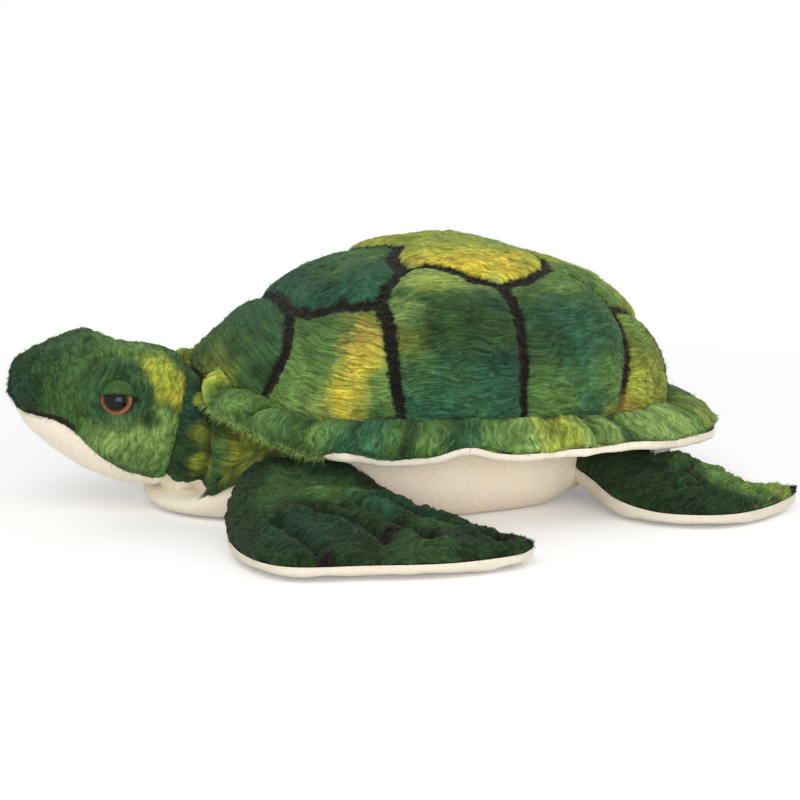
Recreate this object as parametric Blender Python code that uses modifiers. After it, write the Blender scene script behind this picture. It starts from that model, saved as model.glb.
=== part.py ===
# Plush sea turtle: a stuffed shell with a padded brim, a neck and head, and four flippers.
# Metres, +Z up. The head points to -X. The origin is on the flat face the belly rests on,
# under the widest place of the belly.
import math
import bpy
import bmesh
from mathutils import Matrix, Vector

# Cloth and clearances
PLUSH = 0.0018              # thickness of the plush cloth
SEAM_GAP = 0.0003           # between two sewn pieces
FILL_GAP = 0.0008           # between a cover and its filling
FLAT_DEPTH = 0.0005         # how deep the belly is pressed flat

# Shell: a dome on an oval base that rises towards the neck
SHELL_X = 0.022
DOME_FRONT = 0.134
DOME_REAR = 0.1365
DOME_HALF_WIDTH = 0.126
DOME_TOP = 0.149
DOME_BASE_FRONT = 0.087
DOME_BASE_SIDE = 0.060
DOME_BASE_REAR = 0.051
DOME_SPREAD_SIDE = 0.68     # below 1 the dome stands up steeply, above 1 it slopes
DOME_SPREAD_FRONT = 1.35
DOME_SPREAD_REAR = 0.95

# Quilting of the shell. The seams between its plates lie in a plane seen from above, where the
# dome's base is a circle of radius 1 and the head is at -1; the other half mirrors them.
PLATE_SEAMS = (
    ((-0.587, 0.0), (-0.585, -0.12), (-0.573, -0.217), (-0.63, -0.359), (-0.795, -0.47),
     (-0.905, -0.507)),
    ((-0.573, -0.217), (-0.413, -0.35), (-0.282, -0.426), (-0.31, -0.614), (-0.359, -0.803),
     (-0.389, -0.908)),
    ((-0.282, -0.426), (-0.16, -0.28), (-0.207, -0.121), (-0.23, 0.0)),
    ((-0.16, -0.28), (-0.087, -0.26), (0.031, -0.412), (0.053, -0.589), (0.056, -0.79),
     (0.05, -0.95)),
    ((0.031, -0.412), (0.169, -0.287), (0.208, -0.158), (0.225, 0.0)),
    ((0.169, -0.287), (0.26, -0.302), (0.397, -0.406), (0.457, -0.556), (0.476, -0.744),
     (0.484, -0.88)),
    ((0.397, -0.406), (0.466, -0.35), (0.62, -0.26), (0.635, 0.0)),
    ((0.62, -0.26), (0.79, -0.37), (0.87, -0.54)),
)
PLATE_SWELL = 0.0012        # how far the middle of a plate stands out from the plain dome
SEAM_PULL = 0.0026          # how far the seams lie inside it
PLATE_ROUND = 0.15          # how far from a seam its pull is felt, in the same plane

# Brim: how far it stands out from the dome's base, and how high its edge lies
BRIM_FRONT = 0.024
BRIM_SIDE = 0.012
BRIM_REAR = 0.0315
BRIM_EDGE_FRONT = 0.083
BRIM_EDGE_SIDE = 0.0435
BRIM_EDGE_REAR = 0.036
BRIM_DEPTH = 0.013          # from the dome's base down to the middle of the brim
COLLAR_DEPTH = 0.017        # the same over the neck
BRIM_TUCK = 0.008           # from the dome's base inwards to that middle
COLLAR_TUCK = -0.006

# Belly: an oval cushion, thin at the chest where the neck lies on it
BELLY_FRONT = 0.153
BELLY_REAR = 0.131
BELLY_HALF_WIDTH = 0.090
BELLY_MIDDLE_Z = 0.024
BELLY_ROUND = 0.018         # how far the side bulges out past the flat
CHEST_MIDDLE_Z = 0.006
BELLY_TOP_ANGLE = 64.0      # degrees up its bulge, where the cover ends
CHEST_OPEN_FROM = 56.0      # degrees from the front where the neck opening starts
CHEST_OPEN_TO = 26.0
NECK_WALL_X = -0.106        # front of the filling behind the neck
COLLAR_INNER_Z = 0.067

# Neck and head, both lofted through upright sections
# Each section is top x, top z, bottom x, bottom z and half width
NECK_SECTIONS = (
    (-0.1310, 0.0775, -0.1460, 0.0200, 0.0330),
    (-0.1220, 0.0690, -0.1320, 0.0180, 0.0420),
    (-0.1120, 0.0640, -0.1180, 0.0180, 0.0530),
    (-0.0980, 0.0620, -0.0980, 0.0220, 0.0600),
)
HEAD_SECTIONS = (
    (-0.1310, 0.0775, -0.1460, 0.0200, 0.0330),
    (-0.1480, 0.0900, -0.1580, 0.0170, 0.0375),
    (-0.1660, 0.0960, -0.1710, 0.0165, 0.0400),
    (-0.1840, 0.1010, -0.1860, 0.0225, 0.0370),
    (-0.2000, 0.0975, -0.1995, 0.0320, 0.0310),
    (-0.2130, 0.0925, -0.2120, 0.0430, 0.0240),
    (-0.2225, 0.0860, -0.2210, 0.0540, 0.0160),
)
NOSE_TIP = (-0.2270, 0.0700)
MOUTH_ANGLES = (-62.0, -62.0, -48.0, -37.0, -21.0, -25.0, -41.0, -80.0)
THROAT_ANGLE = -58.0
NECK_LIFT_AXIS = (-0.131, 0.082)
HEAD_TWIST_POINT = (-0.138, 0.0, 0.050)

# Eyes: a glossy dome on a post, a lid over its top and a washer inside the head
EYE_PLACE = (-0.1735, 0.0408, 0.0684)
EYE_TURN = 16.0             # degrees towards the nose
EYE_TILT = 10.0             # degrees upwards
EYE_RADIUS = 0.009
EYE_SPHERE = 0.0102
EYE_EDGE = 0.0012
POST_RADIUS = 0.0025
POST_LENGTH = 0.014
WASHER_RADIUS = 0.009
WASHER_DEPTH = 0.0078       # from under the eye's rim to the washer, through the cover
WASHER_THICKNESS = 0.0015
LID_THICKNESS = 0.0012
LID_RAISE = 19.5            # degrees from the middle of the eye up to the lid's lower edge

# Flippers. Each section is front edge x, y, z, rear edge x, y, z, top z and bottom z, on one side
FRONT_FLIPPER = (
    (-0.1000, 0.0600, 0.0270, -0.0520, 0.0660, 0.0270, 0.0390, 0.0140),
    (-0.1200, 0.0900, 0.0210, -0.0470, 0.0890, 0.0220, 0.0370, 0.0060),
    (-0.1310, 0.1240, 0.0120, -0.0370, 0.1010, 0.0160, 0.0290, 0.0015),
    (-0.1310, 0.1600, 0.0085, -0.0270, 0.1130, 0.0120, 0.0230, 0.0008),
    (-0.1160, 0.1900, 0.0080, -0.0170, 0.1290, 0.0100, 0.0195, 0.0007),
    (-0.0760, 0.2000, 0.0080, -0.0080, 0.1470, 0.0090, 0.0175, 0.0007),
    (-0.0380, 0.2070, 0.0080, 0.0020, 0.1640, 0.0080, 0.0155, 0.0007),
    (-0.0020, 0.2015, 0.0080, 0.0105, 0.1780, 0.0080, 0.0140, 0.0009),
)
FRONT_TIP = (0.0140, 0.1900, 0.0080)
REAR_FLIPPER = (
    (0.0800, 0.0500, 0.0250, 0.1140, 0.0260, 0.0250, 0.0360, 0.0140),
    (0.0850, 0.0880, 0.0190, 0.1330, 0.0500, 0.0220, 0.0335, 0.0060),
    (0.0900, 0.1130, 0.0120, 0.1510, 0.0760, 0.0170, 0.0290, 0.0015),
    (0.1030, 0.1340, 0.0085, 0.1640, 0.0960, 0.0120, 0.0235, 0.0008),
    (0.1230, 0.1475, 0.0080, 0.1740, 0.1090, 0.0095, 0.0185, 0.0007),
    (0.1470, 0.1500, 0.0080, 0.1850, 0.1130, 0.0085, 0.0155, 0.0007),
    (0.1740, 0.1370, 0.0080, 0.1940, 0.1110, 0.0080, 0.0140, 0.0009),
)
REAR_TIP = (0.2000, 0.1150, 0.0080)
FRONT_HINGE_X = (-0.104, -0.052)    # where the root's two ends meet the belly
REAR_HINGE_X = (0.084, 0.117)
HINGE_RADIUS = 0.034
HINGE_CLEARANCE = 0.0004

# Label: a folded blank ribbon under the brim
LABEL_WIDTH = 0.022
LABEL_DROP = 0.009
LABEL_THICKNESS = 0.0005
LABEL_FOLD = 0.0012
LABEL_ANGLE = 317.0         # degrees round the shell
LABEL_REACH = 0.30          # share of the lining's first strip between the edge and the label

SHELL_STEPS = 36
DOME_RINGS = 14
BELLY_RINGS = 6
BRIM_RINGS = 3
HEAD_RINGS = 11
NECK_RINGS = 5
SHOULDER_STEPS = 8          # of the shell's steps, half on each side of the neck
CROWN_STEPS = 14            # across the green cover of the head and neck
JAW_STEPS = 6               # across the cream panel under it
OVAL_POWER = 2.2

COLOURS = {
    "shell_plush": (0.10, 0.24, 0.10, 0.95),
    "brim_plush": (0.12, 0.28, 0.12, 0.95),
    "cream_plush": (0.80, 0.74, 0.62, 0.95),
    "skin_plush": (0.06, 0.20, 0.09, 0.95),
    "stuffing": (0.90, 0.90, 0.88, 0.95),
    "eye_plastic": (0.05, 0.02, 0.01, 0.15),
    "lid_plastic": (0.10, 0.22, 0.08, 0.30),
    "washer_plastic": (0.85, 0.85, 0.80, 0.50),
    "label_satin": (0.92, 0.92, 0.90, 0.45),
}

for old in list(bpy.data.objects):
    bpy.data.objects.remove(old, do_unlink=True)
turtle = bpy.data.collections.new("plush_turtle")
cutters = bpy.data.collections.new("cutters")
bpy.context.scene.collection.children.link(turtle)
bpy.context.scene.collection.children.link(cutters)


def material(name, kind):
    red, green, blue, roughness = COLOURS[kind]
    made = bpy.data.materials.new(name)
    made.use_nodes = True
    shader = made.node_tree.nodes["Principled BSDF"]
    shader.inputs["Base Color"].default_value = (red, green, blue, 1.0)
    shader.inputs["Roughness"].default_value = roughness
    shader.inputs["Metallic"].default_value = 0.0
    return made


def make_object(name, mesh, kind):
    made = bpy.data.objects.new(name, mesh)
    turtle.objects.link(made)
    mesh.materials.append(material(name + "_finish", kind))
    mesh.shade_smooth()
    mesh.set_sharp_from_angle(angle=math.radians(40))
    return made


def make_cutter(name, mesh):
    made = bpy.data.objects.new(name, mesh)
    cutters.objects.link(made)
    made.hide_render = True
    made.display_type = "WIRE"
    return made


def cut(piece, *tools):
    for tool in tools:
        modifier = piece.modifiers.new("cut by " + tool.name, "BOOLEAN")
        modifier.operation = "DIFFERENCE"
        modifier.solver = "EXACT"
        modifier.object = tool


# A skin is a function of u, v and inset: u runs along the piece, v across it, both 0 to 1,
# and inset is how far inside the outer surface the point lies.

def sample(skin, inset, rows, columns, wrap, pole, start=0.0, end=1.0):
    # Rows of points over the skin. With a pole the last row is a single point.
    across = columns if wrap else columns + 1
    table = []
    for i in range(rows + 1):
        u = start + (end - start) * i / rows
        if pole and i == rows:
            table.append([skin(u, 0.0, inset)])
            continue
        table.append([skin(u, j / columns, inset) for j in range(across)])
    return table


def add_rows(builder, table, wrap):
    # Adds the points and the faces between following rows
    made = [[builder.verts.new(point) for point in row] for row in table]
    for near, far in zip(made, made[1:]):
        count = len(near)
        last = count if wrap else count - 1
        for j in range(last):
            k = (j + 1) % count
            # Triangles, so that a cover and its filling are split along the same diagonals
            builder.faces.new((near[j], near[k], far[k % len(far)]))
            if len(far) > 1:
                builder.faces.new((near[j], far[k], far[j]))
    return made


def finish_mesh(name, builder):
    bmesh.ops.recalc_face_normals(builder, faces=builder.faces)
    if builder.calc_volume(signed=True) < 0:
        bmesh.ops.reverse_faces(builder, faces=builder.faces)
    mesh = bpy.data.meshes.new(name)
    builder.to_mesh(mesh)
    builder.free()
    return mesh


def join_edges(builder, outer, inner):
    for j in range(len(outer) - 1):
        builder.faces.new((outer[j], outer[j + 1], inner[j + 1], inner[j]))


def cover(name, skin, kind, rows, columns, wrap=False, pole=False, start=0.0, end=1.0):
    # A cloth cover: the skin, the same skin one cloth thickness further in, and the rim between
    builder = bmesh.new()
    outer = add_rows(builder, sample(skin, 0.0, rows, columns, wrap, pole, start, end), wrap)
    inner = add_rows(builder, sample(skin, PLUSH, rows, columns, wrap, pole, start, end), wrap)
    ends = [(outer[0], inner[0])]
    if not pole:
        ends.append((outer[-1], inner[-1]))
    for out_row, in_row in ends:
        if wrap:
            out_row = out_row + [out_row[0]]
            in_row = in_row + [in_row[0]]
        join_edges(builder, out_row, in_row)
    if not wrap:
        join_edges(builder, [row[0] for row in outer], [row[0] for row in inner])
        join_edges(builder, [row[-1] for row in outer], [row[-1] for row in inner])
    return make_object(name, finish_mesh(name, builder), kind)


def solid_mesh(name, table):
    # A closed body through rows of points, whose ends are flat or come to a point
    builder = bmesh.new()
    made = add_rows(builder, table, True)
    for end in (made[0], made[-1]):
        if len(end) > 1:
            builder.faces.new(end)
    return finish_mesh(name, builder)


def filling(name, skin, rows, columns, pole=False):
    table = sample(skin, PLUSH + FILL_GAP, rows, columns, True, pole)
    return make_object(name, solid_mesh(name, table), "stuffing")


def mix(a, b, share):
    return a + (b - a) * share


def through(values, u):
    # A smooth curve through evenly spaced values, at u from 0 to 1
    last = len(values) - 1
    place = min(max(u, 0.0), 1.0) * last
    i = min(int(place), last - 1)
    t = place - i
    here = values[i]
    there = values[i + 1]
    before = values[i - 1] if i > 0 else [2 * a - b for a, b in zip(here, there)]
    after = values[i + 2] if i + 2 <= last else [2 * b - a for a, b in zip(here, there)]
    return [
        0.5 * (2 * p1 + (p2 - p0) * t + (2 * p0 - 5 * p1 + 4 * p2 - p3) * t * t
               + (3 * p1 - p0 - 3 * p2 + p3) * t ** 3)
        for p0, p1, p2, p3 in zip(before, here, there, after)
    ]


def signed_power(value, power):
    return math.copysign(abs(value) ** power, value)


def oval(angle, front, rear, half_width):
    # A squarish oval about its own middle; angle 180 degrees is the front
    power = 2 / OVAL_POWER
    length = rear if math.cos(angle) > 0 else front
    x = length * signed_power(math.cos(angle), power)
    y = half_width * signed_power(math.sin(angle), power)
    return x, y


def height(angle, front, side, rear, front_power):
    to_front = max(-math.cos(angle), 0.0) ** front_power
    to_rear = max(math.cos(angle), 0.0) ** 1.5
    return side + (front - side) * to_front + (rear - side) * to_rear


def neck_share(angle):
    # 0 round the sides and the rear, 1 across the neck opening
    off_front = abs(math.degrees(angle) % 360 - 180)
    share = (CHEST_OPEN_FROM - off_front) / (CHEST_OPEN_FROM - CHEST_OPEN_TO)
    share = min(max(share, 0.0), 1.0)
    return share * share * (3 - 2 * share)


# Shell

def dome_base(angle, inset):
    x, y = oval(angle, DOME_FRONT - inset, DOME_REAR - inset, DOME_HALF_WIDTH - inset)
    z = height(angle, DOME_BASE_FRONT, DOME_BASE_SIDE, DOME_BASE_REAR, 4.0)
    return Vector((SHELL_X + x, y, z))


def dome_place(i, j):
    # A corner of the dome's grid in the plane of PLATE_SEAMS
    radius = 1 - i / DOME_RINGS
    angle = 2 * math.pi * j / SHELL_STEPS
    return radius * math.cos(angle), radius * math.sin(angle)


def seam_points():
    points = []
    for seam in PLATE_SEAMS:
        for (x0, y0), (x1, y1) in zip(seam, seam[1:]):
            for step in range(16):
                x, y = mix(x0, x1, step / 16), mix(y0, y1, step / 16)
                points += [(x, y), (x, -y)]
    return points


def quilted_corners():
    # The grid's corners nearest to a seam move onto it. Each corner gets its u, v and lift.
    corners = [(i, j) for i in range(1, DOME_RINGS) for j in range(SHELL_STEPS)]
    places = {corner: dome_place(*corner) for corner in corners}
    points = seam_points()
    pulled = {}
    for point in points:
        nearest = min(corners, key=lambda corner: math.dist(places[corner], point))
        pulled.setdefault(nearest, []).append(point)
    made = {}
    for corner, (x, y) in places.items():
        lift = -SEAM_PULL
        if corner in pulled:
            near = pulled[corner]
            x = sum(point[0] for point in near) / len(near)
            y = sum(point[1] for point in near) / len(near)
        else:
            away = min(math.dist((x, y), point) for point in points)
            lift = mix(-SEAM_PULL, PLATE_SWELL, min(away / PLATE_ROUND, 1.0) ** 0.5)
        made[corner] = (1 - math.hypot(x, y), math.atan2(y, x) / (2 * math.pi) % 1, lift)
    return made


QUILTED = quilted_corners()


def dome_skin(u, v, inset):
    # The plates swell and their seams pull in, but not at the dome's base and top
    corner = (round(u * DOME_RINGS), round(v * SHELL_STEPS) % SHELL_STEPS)
    u, v, lift = QUILTED.get(corner, (u, v, 0.0))
    point = plain_dome(u, v, inset)
    outwards = point - Vector((SHELL_X, 0.0, DOME_BASE_SIDE))
    return point + outwards.normalized() * lift


def dome_spread(angle):
    toward = math.cos(angle)
    end = DOME_SPREAD_FRONT if toward < 0 else DOME_SPREAD_REAR
    return mix(DOME_SPREAD_SIDE, end, abs(toward) ** 2.5)


def plain_dome(u, v, inset):
    angle = 2 * math.pi * v
    base = dome_base(angle, inset)
    turn = u * math.pi / 2
    spread = math.cos(turn) ** dome_spread(angle) if u < 1.0 else 0.0
    rise = math.sin(turn)
    return Vector((
        mix(SHELL_X, base.x, spread),
        base.y * spread,
        mix(base.z, DOME_TOP - inset, rise),
    ))


def brim_edge(angle):
    x, y = oval(angle, DOME_FRONT + BRIM_FRONT, DOME_REAR + BRIM_REAR, DOME_HALF_WIDTH + BRIM_SIDE)
    z = height(angle, BRIM_EDGE_FRONT, BRIM_EDGE_SIDE, BRIM_EDGE_REAR, 5.5)
    return Vector((SHELL_X + x, y, z))


def brim_section(angle):
    # The brim's outline at this angle, from the dome's base over the edge to the belly
    base = dome_base(angle, 0.0)
    base.z -= SEAM_GAP
    inwards = Vector((SHELL_X - base.x, -base.y, 0.0)).normalized()
    depth = mix(BRIM_DEPTH, COLLAR_DEPTH, neck_share(angle))
    tuck = mix(BRIM_TUCK, COLLAR_TUCK, neck_share(angle))
    middle = base + inwards * tuck - Vector((0.0, 0.0, depth))
    to_dome = base - middle
    to_edge = brim_edge(angle) - middle
    to_belly = lining_end(angle) - middle
    turns = [math.pi / 2 * i / BRIM_RINGS for i in range(BRIM_RINGS + 1)]
    upper = [middle + to_dome * math.cos(turn) + to_edge * math.sin(turn) for turn in turns]
    lower = [middle + to_edge * math.cos(turn) + to_belly * math.sin(turn) for turn in turns]
    return upper + lower[1:]


def brim_point(angle, k, inset):
    # Point k of the section, moved in square to the two faces that meet there
    here = brim_section(angle)
    nearby = math.radians(1)
    around = brim_section(angle + nearby)[k] - brim_section(angle - nearby)[k]
    normals = [
        (here[i + 1] - here[i]).cross(around).normalized()
        for i in (k - 1, k) if 0 <= i < len(here) - 1
    ]
    if len(normals) == 1:
        return here[k] - normals[0] * inset
    return here[k] - (normals[0] + normals[1]) * inset / (1 + normals[0].dot(normals[1]))


def brim_upper_skin(u, v, inset):
    point = brim_point(2 * math.pi * v, round(u * BRIM_RINGS), inset)
    return point + Vector((0, 0, SEAM_GAP / 2))


def brim_lower_skin(u, v, inset):
    point = brim_point(2 * math.pi * v, BRIM_RINGS + round(u * BRIM_RINGS), inset)
    return point - Vector((0, 0, SEAM_GAP / 2))


# Belly

def belly_ring(angle, sine, inset):
    # A point of the belly's bulge: sine 1 is its top, 0 its widest and -1 its underside
    open_share = neck_share(angle)
    middle_z = mix(BELLY_MIDDLE_Z, CHEST_MIDDLE_Z, open_share)
    bulge = min(BELLY_ROUND, 0.012 + middle_z / 4)
    x, y = oval(angle, BELLY_FRONT - bulge, BELLY_REAR - bulge, BELLY_HALF_WIDTH - bulge)
    outwards = Vector((x / BELLY_FRONT, y / BELLY_HALF_WIDTH, 0.0)).normalized()
    cosine = math.sqrt(max(0.0, 1.0 - sine * sine))
    point = Vector((x, y, middle_z)) + outwards * (bulge - inset) * cosine
    point.z += (middle_z + FLAT_DEPTH - inset) * sine
    return point


def belly_top(angle, inset):
    return belly_ring(angle, math.sin(math.radians(BELLY_TOP_ANGLE)), inset)


def belly_turn(share):
    # From the belly's top edge, share 0, round its bulge to the underside, share 1
    return math.sin(mix(math.radians(BELLY_TOP_ANGLE), -math.pi / 2, share))


def belly_skin(u, v, inset):
    ring = round(u * (BELLY_RINGS + 1))
    if ring > BELLY_RINGS:
        return Vector((0.0, 0.0, inset - FLAT_DEPTH))
    return belly_ring(2 * math.pi * v, belly_turn(ring / BELLY_RINGS), inset)


def lining_end(angle):
    # Where the brim's lining is sewn: to the belly's top, or over the neck to the collar
    end = belly_top(angle, 0.0)
    open_share = neck_share(angle)
    end.x = mix(end.x, max(end.x, NECK_WALL_X - 0.010), open_share)
    end.z = mix(belly_top(0.0, 0.0).z, COLLAR_INNER_Z, open_share)
    end.z += SEAM_GAP
    return end


def neck_wall(angle, low, z, inset):
    # A point of the upright wall behind the neck
    x = mix(low.x, max(low.x, NECK_WALL_X + inset), neck_share(angle))
    return Vector((x, low.y, z))


def shoulder_skin(u, v, inset):
    # Closes the body round the neck: from the chest back to the wall, up it and under the collar
    angle = math.pi + 2 * math.pi * SHOULDER_STEPS / SHELL_STEPS * (v - 0.5)
    low = belly_top(angle, inset)
    inwards = Vector((-low.x, -low.y, 0.0)).normalized()
    collar = lining_end(angle) + inwards * PLUSH + Vector((0, 0, inset))
    corners = (
        low,
        neck_wall(angle, low, low.z, inset),
        neck_wall(angle, low, collar.z, inset),
        collar,
    )
    return corners[round(u * 3)] + inwards * 2 * SEAM_GAP


def body_table(inset):
    # Rings of the filling's outline, from the flat belly up over the dome
    angles = [2 * math.pi * j / SHELL_STEPS for j in range(SHELL_STEPS)]
    table = []
    for i in range(BELLY_RINGS, 0, -1):
        table.append([belly_ring(angle, belly_turn(i / BELLY_RINGS), inset) for angle in angles])
    # Then a ring a little under the rim of the belly's cover
    top_ring = [belly_top(angle, inset) for angle in angles]
    table.append([low - Vector((0, 0, SEAM_GAP)) for low in top_ring])
    wall = []
    under_dome = []
    for angle, low in zip(angles, top_ring):
        wall.append(neck_wall(angle, low, low.z + SEAM_GAP, inset))
        under_dome.append(neck_wall(angle, low, lining_end(angle).z + inset, inset))
    table += [wall, under_dome]
    return table + sample(dome_skin, inset, DOME_RINGS, SHELL_STEPS, True, True)


# Neck and head

def section_point(section, turn, inset):
    # A point of an upright oval section; turn 90 degrees is its top
    top = Vector((section[0], 0.0, section[1]))
    bottom = Vector((section[2], 0.0, section[3]))
    half_width = section[4]
    upright = (top - bottom) / 2
    half_height = upright.length
    centre = (top + bottom) / 2
    power = 2 / OVAL_POWER
    narrow = 1.0 - 0.16 * max(-math.sin(turn), 0.0)
    side = max(half_width * narrow - inset, 0.0005) * signed_power(math.cos(turn), power)
    rise = max(half_height - inset, 0.0005) * signed_power(math.sin(turn), power)
    return centre + Vector((0, side, 0)) + upright.normalized() * rise


def neck_section(u):
    return through(NECK_SECTIONS, u)


def head_section(u):
    tip = (NOSE_TIP[0], NOSE_TIP[1], NOSE_TIP[0], NOSE_TIP[1] - 0.0005, 0.0003)
    section = through(HEAD_SECTIONS + (tip,), u)
    # The head starts one seam gap in front of the neck
    section[0] -= SEAM_GAP
    section[2] -= SEAM_GAP
    return section


def head_length_share(u, inset):
    length = HEAD_SECTIONS[0][0] - NOSE_TIP[0]
    return u * (1.0 - inset / length)


def over_top(v, low_angle):
    return math.radians(mix(low_angle + 0.3, 180.0 - low_angle - 0.3, v))


def under(v, low_angle):
    return math.radians(mix(low_angle - 0.3, -180.0 - low_angle + 0.3, v))


def all_round(v, low_angle):
    # The same angles as the cover and the panel under it use together
    steps = v * (CROWN_STEPS + JAW_STEPS)
    if steps <= CROWN_STEPS:
        return over_top(steps / CROWN_STEPS, low_angle)
    return under(1.0 - (steps - CROWN_STEPS) / JAW_STEPS, low_angle)


def mouth_angle(u):
    return through([(angle,) for angle in MOUTH_ANGLES], u)[0]


def neck_cover_skin(u, v, inset):
    return section_point(neck_section(u), over_top(v, THROAT_ANGLE), inset)


def throat_skin(u, v, inset):
    return section_point(neck_section(u), under(v, THROAT_ANGLE), inset)


def neck_skin(u, v, inset):
    return section_point(neck_section(u), all_round(v, THROAT_ANGLE), inset)


def head_cover_skin(u, v, inset):
    place = head_length_share(u, inset)
    return section_point(head_section(place), over_top(v, mouth_angle(u)), inset)


def jaw_skin(u, v, inset):
    place = head_length_share(u, inset)
    return section_point(head_section(place), under(v, mouth_angle(u)), inset)


def head_skin(u, v, inset):
    return section_point(
        head_section(head_length_share(u, inset)), all_round(v, mouth_angle(u)), inset)


# Flippers

def flipper_skin(sections, tip, side, part):
    # part is 1 for the upper cover, -1 for the lower cover and 0 for the whole outline
    last = tuple(tip[:3]) + tuple(tip[:3]) + (tip[2] + 0.003, tip[2] - 0.003)
    table = tuple(sections) + (last,)
    root = (Vector(sections[0][:3]) + Vector(sections[0][3:6])) / 2
    length = (Vector(tip) - root).length

    def skin(u, v, inset):
        values = through(table, u * (1.0 - inset / length))
        lead = Vector(values[:3])
        trail = Vector(values[3:6])
        centre = (lead + trail) / 2
        half = (trail - lead) / 2
        reach = max(half.length - inset, 0.0004)
        turn = math.pi * v if part else 2 * math.pi * v
        up = part if part else (1 if v < 0.5 else -1)
        swell = abs(math.sin(turn)) ** 0.8
        point = centre - half.normalized() * reach * math.cos(turn)
        depth = values[6] - centre.z if up > 0 else centre.z - values[7]
        point.z += up * max(depth - inset, 0.0003) * swell
        point.z += part * SEAM_GAP / 2
        return Vector((point.x, side * point.y, point.z))

    return skin


def belly_side(x, side):
    # The belly's widest line at this x
    reach = BELLY_REAR if x > 0 else BELLY_FRONT
    y = BELLY_HALF_WIDTH * (1 - (abs(x) / reach) ** OVAL_POWER) ** (1 / OVAL_POWER)
    return Vector((x, side * y, BELLY_MIDDLE_Z))


def hinge_line(ends, side):
    # The hinge lies inside the belly, so that the root slides round the belly's bulge
    first = belly_side(ends[0], side)
    second = belly_side(ends[1], side)
    middle = belly_side((ends[0] + ends[1]) / 2, side)
    along = (second - first).normalized()
    outwards = Vector((along.y, -along.x, 0.0)) * -side
    return middle - outwards * HINGE_RADIUS, along


def hinge_cutter(name, ends, side):
    centre, along = hinge_line(ends, side)
    builder = bmesh.new()
    bmesh.ops.create_cone(
        builder, cap_ends=True, segments=48,
        radius1=HINGE_RADIUS + HINGE_CLEARANCE, radius2=HINGE_RADIUS + HINGE_CLEARANCE, depth=0.16,
    )
    turn = Vector((0, 0, 1)).rotation_difference(along).to_matrix().to_4x4()
    builder.transform(Matrix.Translation(centre) @ turn)
    return make_cutter(name, finish_mesh(name, builder))


def make_flipper(name, sections, tip, ends, side):
    root = hinge_cutter(name + "_root_cut", ends, side)
    pieces = [
        cover(name + "_upper", flipper_skin(sections, tip, side, 1), "skin_plush", 10, 6, pole=True),
        cover(name + "_lower", flipper_skin(sections, tip, side, -1), "cream_plush", 10, 6, pole=True),
        filling(name + "_filling", flipper_skin(sections, tip, side, 0), 10, 12, pole=True),
    ]
    centre, _ = hinge_line(ends, side)
    for piece in pieces:
        cut(piece, root)
        piece.data.transform(Matrix.Translation(-centre))
        piece.location = centre


# Eyes

def eye_frame(side):
    # Looks outwards along its own +Z
    turn = Matrix.Rotation(side * math.radians(90 + EYE_TURN), 4, "Z")
    tilt = Matrix.Rotation(math.radians(90 - EYE_TILT), 4, "Y")
    place = Vector((EYE_PLACE[0], side * EYE_PLACE[1], EYE_PLACE[2]))
    return Matrix.Translation(place) @ turn @ tilt


def turned(name, profile, steps, frame, ring=False):
    # Turns a profile of radius and height, given top to bottom down its outer side, round Z
    mesh = bpy.data.meshes.new(name)
    points = [(radius, 0.0, z) for radius, z in profile]
    edges = [(i, i + 1) for i in range(len(points) - 1)]
    if ring:
        edges.append((len(points) - 1, 0))
    mesh.from_pydata(points, edges, [])
    spare = bpy.data.objects.new(name, mesh)
    turtle.objects.link(spare)
    screw = spare.modifiers.new("turn", "SCREW")
    screw.steps = steps
    screw.render_steps = steps
    screw.use_merge_vertices = True
    screw.merge_threshold = 0.00001
    spare.matrix_world = frame
    return spare


def finish_turned(piece, kind):
    piece.data.materials.append(material(piece.name + "_finish", kind))
    return piece


def eye_profile():
    # Dome, rim and post, from the dome's pole to the post's end
    edge = math.asin(EYE_RADIUS / EYE_SPHERE)
    depth = EYE_SPHERE * math.cos(edge)
    points = [(0.0, EYE_SPHERE - depth)]
    for i in range(1, 7):
        turn = edge * i / 6
        points.append((EYE_SPHERE * math.sin(turn), EYE_SPHERE * math.cos(turn) - depth))
    points += [
        (EYE_RADIUS, -EYE_EDGE),
        (POST_RADIUS, -EYE_EDGE),
        (POST_RADIUS, -POST_LENGTH),
        (0.0, -POST_LENGTH),
    ]
    return points


def washer_profile(top):
    inside = POST_RADIUS + SEAM_GAP
    return [
        (inside, top),
        (WASHER_RADIUS, top),
        (WASHER_RADIUS, top - WASHER_THICKNESS),
        (inside, top - WASHER_THICKNESS),
    ]


def plug_profile(radius, top, bottom):
    return [(0.0, top), (radius, top), (radius, bottom), (0.0, bottom)]


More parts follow.
